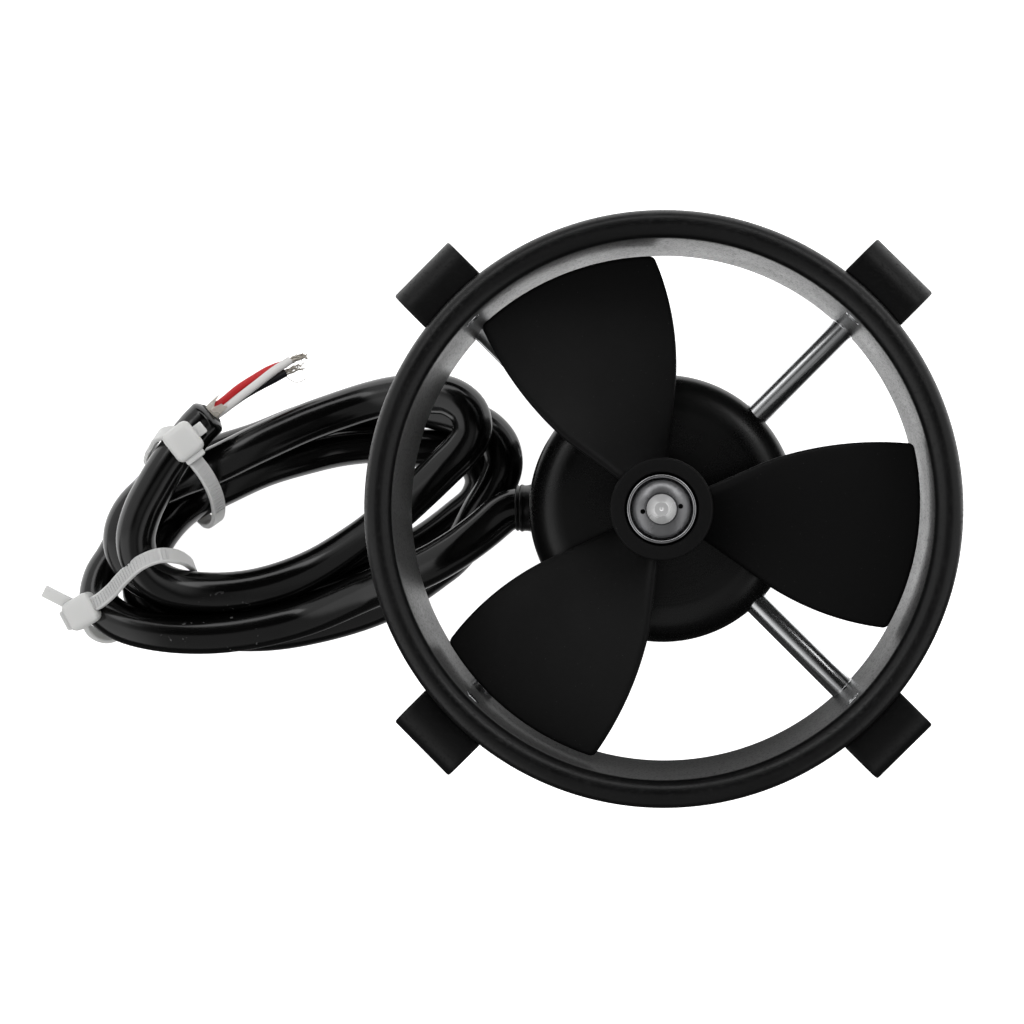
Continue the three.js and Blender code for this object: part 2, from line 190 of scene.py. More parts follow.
def outwards(degrees: float, height: float) -> Matrix:
    """Matrix that lays a shape made along +Z so that it points away from the axis at a height in mm."""
    lift = Matrix.Translation((0, 0, height * MM))
    return lift @ Matrix.Rotation(math.radians(degrees), 4, "Z") @ Matrix.Rotation(math.pi / 2, 4, "Y")


def bake(made: bpy.types.Object) -> bpy.types.Object:
    """Turns an object's modifiers into its plain mesh, and returns the object."""
    graph = bpy.context.evaluated_depsgraph_get()
    mesh = bpy.data.meshes.new_from_object(made.evaluated_get(graph))
    made.modifiers.clear()
    made.data = mesh
    mesh.name = made.name
    return made


def cut(made: bpy.types.Object, cutters: list[bpy.types.Object], how: str = "DIFFERENCE") -> bpy.types.Object:
    """Cuts an object with others, or joins them to it, and removes those others.

    Args:
        made: The object that stays.
        cutters: The objects that are used up.
        how: Name of the Boolean operation.

    Returns:
        The object, with a plain mesh.
    """
    for cutter in cutters:
        step = made.modifiers.new("cut", "BOOLEAN")
        step.operation = how
        step.solver = "EXACT"
        step.object = cutter
    bake(made)
    for cutter in cutters:
        bpy.data.objects.remove(cutter)
    return made


def bevelled(made: bpy.types.Object, width: float, segments: int = 2, angle: float = 30) -> bpy.types.Object:
    """Rounds an object's sharp edges.

    Args:
        made: The object.
        width: Width of the rounding in millimetres.
        segments: Number of facets in it.
        angle: Edges sharper than this many degrees are rounded.

    Returns:
        The object, with a plain mesh.
    """
    step = made.modifiers.new("round", "BEVEL")
    step.width = width * MM
    step.segments = segments
    step.limit_method = "ANGLE"
    step.angle_limit = math.radians(angle)
    step.harden_normals = False
    return bake(made)


def smooth(made: bpy.types.Object, angle: float = 35) -> bpy.types.Object:
    """Shades an object smooth, but for edges sharper than an angle in degrees, and returns it."""
    made.data.polygons.foreach_set("use_smooth", [True] * len(made.data.polygons))
    made.data.set_sharp_from_angle(angle=math.radians(angle))
    return made


def joined(name: str, parts: list[bpy.types.Object]) -> bpy.types.Object:
    """Puts the meshes of several objects into one new object and removes them.

    Args:
        name: The new object's name.
        parts: The objects that are used up.

    Returns:
        The new object.
    """
    work = bmesh.new()
    for part in parts:
        work.from_mesh(part.data)
    mesh = bpy.data.meshes.new(name)
    work.to_mesh(mesh)
    work.free()
    for part in parts:
        bpy.data.objects.remove(part)
    return linked(name, mesh)


def finish_piece(
    made: bpy.types.Object,
    material: bpy.types.Material,
    nodes: tuple[str, ...] = (),
    body: Body = Body.ROOT,
) -> bpy.types.Object:
    """Gives a piece its material and body, and reports it.

    Args:
        made: The piece.
        material: Its finish.
        nodes: CAD nodes that it stands for.
        body: The body that it moves with.

    Returns:
        The piece.
    """
    made.data.materials.clear()
    made.data.materials.append(material)
    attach(made, body.value)
    if nodes:
        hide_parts(*nodes)
    log.info("%s rides on %s", made.name, body.value)
    return made


def smooth_route(points: list[Point3], steps: int, closed: bool = False) -> list[Vector]:
    """A smooth line through points, by centripetal Catmull-Rom.

    Args:
        points: The points, in millimetres.
        steps: Number of chords between two of them.
        closed: True if the line comes back to its start.

    Returns:
        The line's points, in millimetres.
    """
    knots = [Vector(p) for p in points]
    if closed:
        knots = [knots[-1], *knots, knots[0], knots[1]]
    else:
        knots = [2 * knots[0] - knots[1], *knots, 2 * knots[-1] - knots[-2]]
    line = []
    for a, b, c, d in zip(knots, knots[1:], knots[2:], knots[3:]):
        ta = 0.0
        tb = ta + (b - a).length ** 0.5
        tc = tb + (c - b).length ** 0.5
        td = tc + (d - c).length ** 0.5
        for i in range(steps):
            t = tb + (tc - tb) * i / steps
            ab = a * ((tb - t) / (tb - ta)) + b * ((t - ta) / (tb - ta))
            bc = b * ((tc - t) / (tc - tb)) + c * ((t - tb) / (tc - tb))
            cd = c * ((td - t) / (td - tc)) + d * ((t - tc) / (td - tc))
            left = ab * ((tc - t) / (tc - ta)) + bc * ((t - ta) / (tc - ta))
            right = bc * ((td - t) / (td - tb)) + cd * ((t - tb) / (td - tb))
            line.append(left * ((tc - t) / (tc - tb)) + right * ((t - tb) / (tc - tb)))
    if not closed:
        line.append(knots[-2])
    return line


# Finishes


def new_material(name: str) -> tuple[bpy.types.Material, bpy.types.Nodes, bpy.types.NodeLinks]:
    """An empty node material.

    Args:
        name: Its name.

    Returns:
        The material, its nodes and its links.
    """
    material = bpy.data.materials.new(name)
    material.use_nodes = True
    material.node_tree.nodes.clear()
    return material, material.node_tree.nodes, material.node_tree.links


@dataclass(frozen=True)
class TurnedAnodised:
    """Black anodised aluminium with the fine rings that a lathe leaves about the duct axis, and a grey painted
    reflection in the bore.
    """

    name: str
    dark: float = 0.0018
    light: float = 0.0032
    roughness: float = 0.32
    specular: float = 0.5
    ring_pitch: float = 0.35
    ring_depth: float = 0.3
    grain_scale: float = 2600.0
    pitting: float = 0.25
    bore_radius: float = 0.0
    # Grey base colour of the bore: a painted reflection of the pale floor, seen at a grazing angle.
    bore_reflection_tone: float = 0.06

    def material(self) -> bpy.types.Material:
        """Builds the node material.

        Returns:
            The material.
        """
        material, nodes, links = new_material(self.name)
        rings = nodes.new("NodeFrame")
        rings.label = "Turning marks"
        tone = nodes.new("NodeFrame")
        tone.label = "Dye and sheen"

        coordinates = nodes.new("ShaderNodeTexCoord")
        coordinates.label = "Place on the head"
        apart = nodes.new("ShaderNodeSeparateXYZ")
        apart.label = "Across and along the axis"
        flat = nodes.new("ShaderNodeCombineXYZ")
        flat.label = "Across the axis"
        radius = nodes.new("ShaderNodeVectorMath")
        radius.label = "Distance from the axis"
        radius.operation = "LENGTH"
        track = nodes.new("ShaderNodeCombineXYZ")
        track.label = "Tool's track"
        marks = nodes.new("ShaderNodeTexNoise")
        marks.label = "Tool marks"
        for name, value in (("Scale", 1 / (self.ring_pitch * MM)), ("Detail", 3), ("Roughness", 0.65)):
            marks.inputs[name].default_value = value
        bead = nodes.new("ShaderNodeTexNoise")
        bead.label = "Etched grain"
        bead.inputs["Scale"].default_value = self.grain_scale
        bead.inputs["Detail"].default_value = 2
        relief = nodes.new("ShaderNodeMath")
        relief.label = "Rings and grain"
        relief.operation = "MULTIPLY_ADD"
        relief.inputs[1].default_value = 0.5
        bump = nodes.new("ShaderNodeBump")
        bump.label = "Fine relief"
        bump.inputs["Strength"].default_value = self.ring_depth
        bump.inputs["Distance"].default_value = 0.02 * MM

        cloud = nodes.new("ShaderNodeTexNoise")
        cloud.label = "Uneven dye"
        cloud.inputs["Scale"].default_value = 110
        cloud.inputs["Detail"].default_value = 4
        colour = nodes.new("ShaderNodeMix")
        colour.label = "Black dye"
        colour.data_type = "RGBA"
        colour.inputs["A"].default_value = (self.dark, self.dark, self.dark * 1.05, 1)
        colour.inputs["B"].default_value = (self.light, self.light, self.light * 1.05, 1)
        inside = nodes.new("ShaderNodeMath")
        inside.label = "Inside the bore"
        inside.operation = "LESS_THAN"
        inside.inputs[1].default_value = (self.bore_radius + 0.08) * MM
        # Painted reflection: inside bore_radius the black dye is swapped for a flat grey that stands in for the
        # glancing reflection of the floor.
        skin = nodes.new("ShaderNodeMix")
        skin.label = "Grey bore, painted reflection"
        skin.data_type = "RGBA"
        skin.inputs["B"].default_value = (*(self.bore_reflection_tone,) * 3, 1)
        sheen = nodes.new("ShaderNodeMapRange")
        sheen.label = "Satin sheen"
        for name, value in (
            ("From Min", 0.3), ("From Max", 0.7), ("To Min", self.roughness - 0.04),
            ("To Max", self.roughness + 0.05),
        ):
            sheen.inputs[name].default_value = value
        pits = nodes.new("ShaderNodeMapRange")
        pits.label = "Dull pits"
        for name, value in (("From Min", 0.52), ("From Max", 0.7), ("To Max", self.pitting)):
            pits.inputs[name].default_value = value
        dull = nodes.new("ShaderNodeMath")
        dull.label = "Sheen with pits"
        dull.operation = "ADD"
        surface = nodes.new("ShaderNodeBsdfPrincipled")
        surface.label = "Anodised skin"
        surface.inputs["Specular IOR Level"].default_value = self.specular
        output = nodes.new("ShaderNodeOutputMaterial")
        output.label = "Surface"

        for node, home, x, y in (
            (coordinates, rings, -1500, 0), (apart, rings, -1300, 0), (flat, rings, -1120, 100),
            (radius, rings, -940, 100), (track, rings, -760, 0), (marks, rings, -580, 60),
            (bead, rings, -580, -200), (relief, rings, -380, 0), (bump, rings, -200, 0),
            (cloud, tone, -580, 400), (colour, tone, -200, 420), (sheen, tone, -380, 260),
            (pits, tone, -380, 100), (dull, tone, -200, 200),
            (inside, tone, -380, 600), (skin, tone, -60, 460), (surface, None, 60, 200),
            (output, None, 360, 200),
        ):
            node.location = (x, y)
            node.parent = home

        place = coordinates.outputs["Object"]
        links.new(place, apart.inputs[0])
        links.new(apart.outputs["X"], flat.inputs["X"])
        links.new(apart.outputs["Y"], flat.inputs["Y"])
        links.new(flat.outputs[0], radius.inputs[0])
        links.new(radius.outputs["Value"], track.inputs["X"])
        links.new(apart.outputs["Z"], track.inputs["Y"])
        links.new(track.outputs[0], marks.inputs["Vector"])
        links.new(place, bead.inputs["Vector"])
        links.new(bead.outputs["Fac"], relief.inputs[0])
        links.new(marks.outputs["Fac"], relief.inputs[2])
        links.new(relief.outputs[0], bump.inputs["Height"])
        links.new(place, cloud.inputs["Vector"])
        links.new(cloud.outputs["Fac"], colour.inputs["Factor"])
        links.new(cloud.outputs["Fac"], sheen.inputs["Value"])
        links.new(radius.outputs["Value"], inside.inputs[0])
        links.new(inside.outputs[0], skin.inputs["Factor"])
        links.new(colour.outputs["Result"], skin.inputs["A"])
        links.new(skin.outputs["Result"], surface.inputs["Base Color"])
        links.new(bead.outputs["Fac"], pits.inputs["Value"])
        links.new(sheen.outputs["Result"], dull.inputs[0])
        links.new(pits.outputs["Result"], dull.inputs[1])
        links.new(dull.outputs[0], surface.inputs["Roughness"])
        links.new(bump.outputs["Normal"], surface.inputs["Normal"])
        links.new(surface.outputs["BSDF"], output.inputs["Surface"])
        return material


@dataclass(frozen=True)
class DrawnMetal:
    """Bare metal with fine scratches drawn out along one direction, or round the duct axis."""

    name: str
    colour: Colour = (0.72, 0.73, 0.74)
    roughness: float = 0.19
    along: float = 0.0
    stretch: Point3 = (60.0, 2600.0, 2600.0)
    scratch_depth: float = 0.12
    metallic: float = 1.0

    def material(self) -> bpy.types.Material:
        """Builds the node material.

        Returns:
            The material.
        """
        material, nodes, links = new_material(self.name)
        drawn = nodes.new("NodeFrame")
        drawn.label = "Drawing lines"
        stain = nodes.new("NodeFrame")
        stain.label = "Handling marks"

        coordinates = nodes.new("ShaderNodeTexCoord")
        coordinates.label = "Place on the head"
        turned = nodes.new("ShaderNodeVectorRotate")
        turned.label = "Along the bar"
        turned.rotation_type = "Z_AXIS"
        turned.inputs["Angle"].default_value = -math.radians(self.along)
        stretched = nodes.new("ShaderNodeMapping")
        stretched.label = "Long fine lines"
        stretched.inputs["Scale"].default_value = self.stretch
        lines = nodes.new("ShaderNodeTexNoise")
        lines.label = "Polishing lines"
        lines.inputs["Scale"].default_value = 1
        lines.inputs["Detail"].default_value = 3
        bump = nodes.new("ShaderNodeBump")
        bump.label = "Line depth"
        bump.inputs["Strength"].default_value = self.scratch_depth
        bump.inputs["Distance"].default_value = 0.01 * MM

        smudge = nodes.new("ShaderNodeTexNoise")
        smudge.label = "Finger smudges"
        smudge.inputs["Scale"].default_value = 260
        smudge.inputs["Detail"].default_value = 5
        shine = nodes.new("ShaderNodeMapRange")
        shine.label = "Shine"
        for name, value in (
            ("From Min", 0.35), ("From Max", 0.7), ("To Min", self.roughness),
            ("To Max", self.roughness + 0.07),
        ):
            shine.inputs[name].default_value = value
        tint = nodes.new("ShaderNodeMix")
        tint.label = "Bare metal"
        tint.data_type = "RGBA"
        tint.inputs["A"].default_value = (*self.colour, 1)
        tint.inputs["B"].default_value = (*[c * 0.9 for c in self.colour], 1)
        surface = nodes.new("ShaderNodeBsdfPrincipled")
        surface.label = "Metal"
        surface.inputs["Metallic"].default_value = self.metallic
        output = nodes.new("ShaderNodeOutputMaterial")
        output.label = "Surface"

        for node, home, x, y in (
            (coordinates, drawn, -1100, 0), (turned, drawn, -920, 0), (stretched, drawn, -740, 0),
            (lines, drawn, -560, 0), (bump, drawn, -300, 0), (smudge, stain, -740, 360),
            (shine, stain, -300, 260), (tint, stain, -300, 460), (surface, None, 0, 200),
            (output, None, 300, 200),
        ):
            node.location = (x, y)
            node.parent = home

        place = coordinates.outputs["Object"]
        links.new(place, turned.inputs["Vector"])
        links.new(turned.outputs["Vector"], stretched.inputs["Vector"])
        links.new(stretched.outputs["Vector"], lines.inputs["Vector"])
        links.new(lines.outputs["Fac"], bump.inputs["Height"])
        links.new(place, smudge.inputs["Vector"])
        links.new(smudge.outputs["Fac"], shine.inputs["Value"])
        links.new(smudge.outputs["Fac"], tint.inputs["Factor"])
        links.new(tint.outputs["Result"], surface.inputs["Base Color"])
        links.new(shine.outputs["Result"], surface.inputs["Roughness"])
        links.new(bump.outputs["Normal"], surface.inputs["Normal"])
        links.new(surface.outputs["BSDF"], output.inputs["Surface"])
        return material


@dataclass(frozen=True)
class Moulding:
    """A moulded plastic or rubber with a fine grain, pale specks and soft unevenness."""

    name: str
    dark: Colour
    light: Colour
    roughness: float
    specular: float = 0.5
    grain_scale: float = 2600.0
    grain_depth: float = 0.3
    speck_share: float = 0.0
    speck: Colour = (0.12, 0.12, 0.12)
    cloudiness: float = 0.0
    see_through: float = 0.0

    def material(self) -> bpy.types.Material:
        """Builds the node material.

        Returns:
            The material.
        """
        material, nodes, links = new_material(self.name)
        grain = nodes.new("NodeFrame")
        grain.label = "Mould grain"
        tone = nodes.new("NodeFrame")
        tone.label = "Colour and dust"

        coordinates = nodes.new("ShaderNodeTexCoord")
        coordinates.label = "Place on the head"
        texture = nodes.new("ShaderNodeTexNoise")
        texture.label = "Spark-eroded grain"
        texture.inputs["Scale"].default_value = self.grain_scale
        texture.inputs["Detail"].default_value = 3
        bump = nodes.new("ShaderNodeBump")
        bump.label = "Grain depth"
        bump.inputs["Strength"].default_value = self.grain_depth
        bump.inputs["Distance"].default_value = 0.03 * MM

        flow = nodes.new("ShaderNodeTexNoise")
        flow.label = "Flow of the melt"
        flow.inputs["Scale"].default_value = 90
        flow.inputs["Detail"].default_value = 3
        base = nodes.new("ShaderNodeMix")
        base.label = "Pigment"
        base.data_type = "RGBA"
        base.inputs["A"].default_value = (*self.dark, 1)
        base.inputs["B"].default_value = (*self.light, 1)
        dust = nodes.new("ShaderNodeTexVoronoi")
        dust.label = "Dust places"
        dust.inputs["Scale"].default_value = 900
        dot = nodes.new("ShaderNodeMapRange")
        dot.label = "Dust specks"
        dot.inputs["From Min"].default_value = 0.05 + self.speck_share
        dot.inputs["From Max"].default_value = 0.02 + self.speck_share
        dust_colour = nodes.new("ShaderNodeMix")
        dust_colour.label = "Specks on the surface"
        dust_colour.data_type = "RGBA"
        dust_colour.inputs["B"].default_value = (*self.speck, 1)
        gloss = nodes.new("ShaderNodeMapRange")
        gloss.label = "Gloss"
        for name, value in (
            ("From Min", 0.3), ("From Max", 0.7), ("To Min", self.roughness - 0.05),
            ("To Max", self.roughness + 0.05),
        ):
            gloss.inputs[name].default_value = value
        surface = nodes.new("ShaderNodeBsdfPrincipled")
        surface.label = "Plastic"
        for name, value in (
            ("Specular IOR Level", self.specular), ("Subsurface Weight", self.cloudiness),
            ("Subsurface Scale", 1.2 * MM), ("Subsurface Radius", (1, 1, 0.95)),
            ("Transmission Weight", self.see_through),
        ):
            surface.inputs[name].default_value = value
        output = nodes.new("ShaderNodeOutputMaterial")
        output.label = "Surface"

        for node, home, x, y in (
            (coordinates, grain, -1000, 0), (texture, grain, -780, 0), (bump, grain, -300, 0),
            (flow, tone, -780, 560), (base, tone, -500, 620), (dust, tone, -780, 280),
            (dot, tone, -500, 320), (dust_colour, tone, -300, 560), (gloss, tone, -300, 280),
            (surface, None, 0, 300), (output, None, 300, 300),
        ):
            node.location = (x, y)
            node.parent = home

        place = coordinates.outputs["Object"]
        links.new(place, texture.inputs["Vector"])
        links.new(texture.outputs["Fac"], bump.inputs["Height"])
        links.new(place, flow.inputs["Vector"])
        links.new(flow.outputs["Fac"], base.inputs["Factor"])
        links.new(place, dust.inputs["Vector"])
        links.new(dust.outputs["Distance"], dot.inputs["Value"])
        links.new(dot.outputs["Result"], dust_colour.inputs["Factor"])
        links.new(base.outputs["Result"], dust_colour.inputs["A"])
        links.new(flow.outputs["Fac"], gloss.inputs["Value"])
        links.new(dust_colour.outputs["Result"], surface.inputs["Base Color"])
        links.new(gloss.outputs["Result"], surface.inputs["Roughness"])
        links.new(bump.outputs["Normal"], surface.inputs["Normal"])
        links.new(surface.outputs["BSDF"], output.inputs["Surface"])
        return material


@dataclass(frozen=True)
class GlossJacket:
    """The cable's glossy black jacket, gently uneven, with a few pale scuffs near one place."""

    name: str = "glossy_black_jacket"
    dark: float = 0.001
    light: float = 0.0018
    roughness: float = 0.13
    scuff_centre: Point3 = (-72.0, -22.5, 11.0)
    scuff_reach: float = 11.0

    def material(self) -> bpy.types.Material:
        """Builds the node material.

        Returns:
            The material.
        """
        material, nodes, links = new_material(self.name)
        wave = nodes.new("NodeFrame")
        wave.label = "Uneven extrusion"
        wear = nodes.new("NodeFrame")
        wear.label = "Scuffs"

        coordinates = nodes.new("ShaderNodeTexCoord")
        coordinates.label = "Place on the cable"
        swell = nodes.new("ShaderNodeTexNoise")
        swell.label = "Lay of the cores under the jacket"
        swell.inputs["Scale"].default_value = 170
        swell.inputs["Detail"].default_value = 2
        bump = nodes.new("ShaderNodeBump")
        bump.label = "Soft waves"
        bump.inputs["Strength"].default_value = 0.35
        bump.inputs["Distance"].default_value = 0.12 * MM
        film = nodes.new("ShaderNodeTexNoise")
        film.label = "Plasticiser film"
        film.inputs["Scale"].default_value = 60
        film.inputs["Detail"].default_value = 5
        gloss = nodes.new("ShaderNodeMapRange")
        gloss.label = "Gloss"
        for name, value in (
            ("From Min", 0.35), ("From Max", 0.7), ("To Min", self.roughness),
            ("To Max", self.roughness + 0.08),
        ):
            gloss.inputs[name].default_value = value

        centred = nodes.new("ShaderNodeMapping")
        centred.label = "Rubbed place"
        centred.inputs["Location"].default_value = [-c * MM for c in self.scuff_centre]
        distance = nodes.new("ShaderNodeVectorMath")
        distance.label = "Distance from it"
        distance.operation = "LENGTH"
        near = nodes.new("ShaderNodeMapRange")
        near.label = "Near it"
        near.inputs["From Min"].default_value = self.scuff_reach * MM
        near.inputs["From Max"].default_value = 0.5 * self.scuff_reach * MM
        hatch = nodes.new("ShaderNodeTexNoise")
        hatch.label = "Scratch pattern"
        for name, value in (("Scale", 620), ("Detail", 1), ("Distortion", 1.6)):
            hatch.inputs[name].default_value = value
        thin = nodes.new("ShaderNodeMapRange")
        thin.label = "Thin scratches"
        thin.inputs["From Min"].default_value = 0.69
        thin.inputs["From Max"].default_value = 0.74
        scuffed = nodes.new("ShaderNodeMath")
        scuffed.label = "Scratches near it"
        scuffed.operation = "MULTIPLY"
        base = nodes.new("ShaderNodeMix")
        base.label = "Black jacket"
        base.data_type = "RGBA"
        base.inputs["A"].default_value = (self.dark, self.dark, self.dark, 1)
        base.inputs["B"].default_value = (self.light, self.light, self.light, 1)
        marked = nodes.new("ShaderNodeMix")
        marked.label = "Pale scuffs"
        marked.data_type = "RGBA"
        marked.inputs["B"].default_value = (0.09, 0.09, 0.09, 1)
        surface = nodes.new("ShaderNodeBsdfPrincipled")
        surface.label = "Soft vinyl"
        output = nodes.new("ShaderNodeOutputMaterial")
        output.label = "Surface"

        for node, home, x, y in (
            (coordinates, wave, -1300, 0), (swell, wave, -800, 0), (bump, wave, -300, 0),
            (film, wave, -800, 260), (gloss, wave, -300, 220), (centred, wear, -1100, 620),
            (distance, wear, -920, 620), (near, wear, -740, 700), (hatch, wear, -920, 440),
            (thin, wear, -740, 460), (scuffed, wear, -520, 600), (base, wear, -520, 800),
            (marked, wear, -300, 700), (surface, None, 0, 400), (output, None, 300, 400),
        ):
            node.location = (x, y)
            node.parent = home

        place = coordinates.outputs["Object"]
        links.new(place, swell.inputs["Vector"])
        links.new(swell.outputs["Fac"], bump.inputs["Height"])
        links.new(place, film.inputs["Vector"])
        links.new(film.outputs["Fac"], gloss.inputs["Value"])
        links.new(place, centred.inputs["Vector"])
        links.new(centred.outputs["Vector"], distance.inputs[0])
        links.new(distance.outputs["Value"], near.inputs["Value"])
        links.new(place, hatch.inputs["Vector"])
        links.new(hatch.outputs["Fac"], thin.inputs["Value"])
        links.new(near.outputs["Result"], scuffed.inputs[0])
        links.new(thin.outputs["Result"], scuffed.inputs[1])
        links.new(film.outputs["Fac"], base.inputs["Factor"])
        links.new(base.outputs["Result"], marked.inputs["A"])
        links.new(scuffed.outputs[0], marked.inputs["Factor"])
        links.new(marked.outputs["Result"], surface.inputs["Base Color"])
        links.new(gloss.outputs["Result"], surface.inputs["Roughness"])
        links.new(bump.outputs["Normal"], surface.inputs["Normal"])
        links.new(surface.outputs["BSDF"], output.inputs["Surface"])
        return material


@dataclass(frozen=True)
class Finishes:
    """Every finish of the head, made once."""

    anodised: bpy.types.Material
    lugs: bpy.types.Material
    body: bpy.types.Material
    bars: dict[int, bpy.types.Material]
    bright: bpy.types.Material
    frosted: bpy.types.Material
    bearing: bpy.types.Material
    impeller: bpy.types.Material
    rubber: bpy.types.Material
    jacket: bpy.types.Material
    cut_jacket: bpy.types.Material
    gland: bpy.types.Material
    nylon: bpy.types.Material
    film: bpy.types.Material
    red: bpy.types.Material
    white: bpy.types.Material
    black: bpy.types.Material
    strands: bpy.types.Material
    board: bpy.types.Material
    chip: bpy.types.Material
    terminal: bpy.types.Material
    ferrite: bpy.types.Material
    brass: bpy.types.Material

    @classmethod
    def make(cls) -> "Finishes":
        """Builds every material.

        Returns:
            The finished set.
        """
        bars = {
            angle: DrawnMetal(f"polished_stainless_{angle}", along=angle).material() for angle in ARM_ANGLES
        }
        recipes = dict(
            # The ring's bore gets the grey painted reflection.
            anodised=TurnedAnodised("anodised_ring", bore_radius=38.2, specular=0.32),
            lugs=TurnedAnodised(
                "anodised_lug", 0.001, 0.002, roughness=0.38, specular=0.22, ring_depth=0.08
            ),
            body=TurnedAnodised(
                "anodised_body", 0.0008, 0.0014, roughness=0.27, ring_pitch=0.6, ring_depth=0.4, pitting=0.04
            ),
            bright=DrawnMetal(
                "spun_bright_metal", (0.4, 0.4, 0.41), 0.13, stretch=(900.0, 900.0, 900.0), scratch_depth=0.02
            ),
            frosted=DrawnMetal(
                "frosted_bright_metal", (0.78, 0.78, 0.78), 0.26, stretch=(900.0, 900.0, 900.0),
                scratch_depth=0.05, metallic=0.62,
            ),
            bearing=DrawnMetal("ground_bearing_steel", (0.55, 0.56, 0.58), 0.2),
            impeller=Moulding(
                "matt_black_nylon", (0.0016, 0.0016, 0.0017), (0.0028, 0.0028, 0.0029), 0.55, 0.19,
                grain_depth=0.45, speck_share=0.01, speck=(0.035, 0.035, 0.035),
            ),
            rubber=Moulding("black_rubber", (0.012,) * 3, (0.018,) * 3, 0.75, 0.3),
            jacket=GlossJacket(),
            cut_jacket=Moulding("cut_jacket_grey", (0.008,) * 3, (0.014,) * 3, 0.7, 0.3),
            gland=Moulding("black_moulded_gland", (0.0012,) * 3, (0.002,) * 3, 0.34, grain_depth=0.15),
            nylon=Moulding(
                "natural_nylon", (0.66, 0.66, 0.65), (0.72, 0.72, 0.71), 0.36, grain_scale=900.0,
                grain_depth=0.12, cloudiness=0.55, see_through=0.12,
            ),
            film=Moulding(
                "clear_wrap", (0.7, 0.66, 0.56), (0.76, 0.74, 0.7), 0.3, grain_scale=700.0, grain_depth=0.6,
                cloudiness=0.3, see_through=0.45,
            ),
            red=Moulding("red_core", (0.43, 0.008, 0.012), (0.5, 0.01, 0.014), 0.38, grain_depth=0.08),
            white=Moulding("white_core", (0.64, 0.63, 0.62), (0.7, 0.69, 0.68), 0.4, grain_depth=0.08),
            black=Moulding("black_core", (0.008, 0.008, 0.011), (0.014, 0.014, 0.018), 0.34),
            strands=DrawnMetal("tinned_strands", (0.55, 0.51, 0.45), 0.35, metallic=0.45),
            board=Moulding("green_solder_mask", (0.01, 0.09, 0.03), (0.02, 0.15, 0.05), 0.3),
            chip=Moulding("black_epoxy", (0.018,) * 3, (0.028,) * 3, 0.5),
            terminal=Moulding("blue_terminal", (0.03, 0.12, 0.36), (0.05, 0.16, 0.44), 0.4),
            ferrite=Moulding("sintered_magnet", (0.06, 0.06, 0.065), (0.1, 0.1, 0.105), 0.5),
            brass=DrawnMetal("turned_brass", (0.7, 0.5, 0.22), 0.22),
        )
        return cls(bars=bars, **{name: recipe.material() for name, recipe in recipes.items()})


# Repeated details by geometry nodes


def run_tree(
    made: bpy.types.Object, tree: bpy.types.NodeTree, values: dict[str, float | int | Point3 | bpy.types.ID]
) -> bpy.types.Object:
    """Runs a geometry tree on an object and keeps the result as its plain mesh.

    Args:
        made: The object whose geometry goes in.
        tree: The tree.
        values: What each named input is set to.

    Returns:
        The object, with a plain mesh.
    """
    step = made.modifiers.new(tree.name, "NODES")
    step.node_group = tree
    for item in tree.interface.items_tree:
        if item.item_type == "SOCKET" and item.in_out == "INPUT" and item.name in values:
            step[item.identifier] = values[item.name]
    return bake(made)


def new_tree(name: str, inputs: dict[str, str]) -> bpy.types.NodeTree:
    """An empty geometry tree that takes geometry and named inputs, and gives geometry.

    Args:
        name: Its name.
        inputs: Each named input and its kind of socket.

    Returns:
        The tree.
    """
    tree = bpy.data.node_groups.new(name, "GeometryNodeTree")
    for label, kind in {"Geometry": "Geometry", **inputs}.items():
        tree.interface.new_socket(label, in_out="INPUT", socket_type=f"NodeSocket{kind}")
    tree.interface.new_socket("Geometry", in_out="OUTPUT", socket_type="NodeSocketGeometry")
    return tree


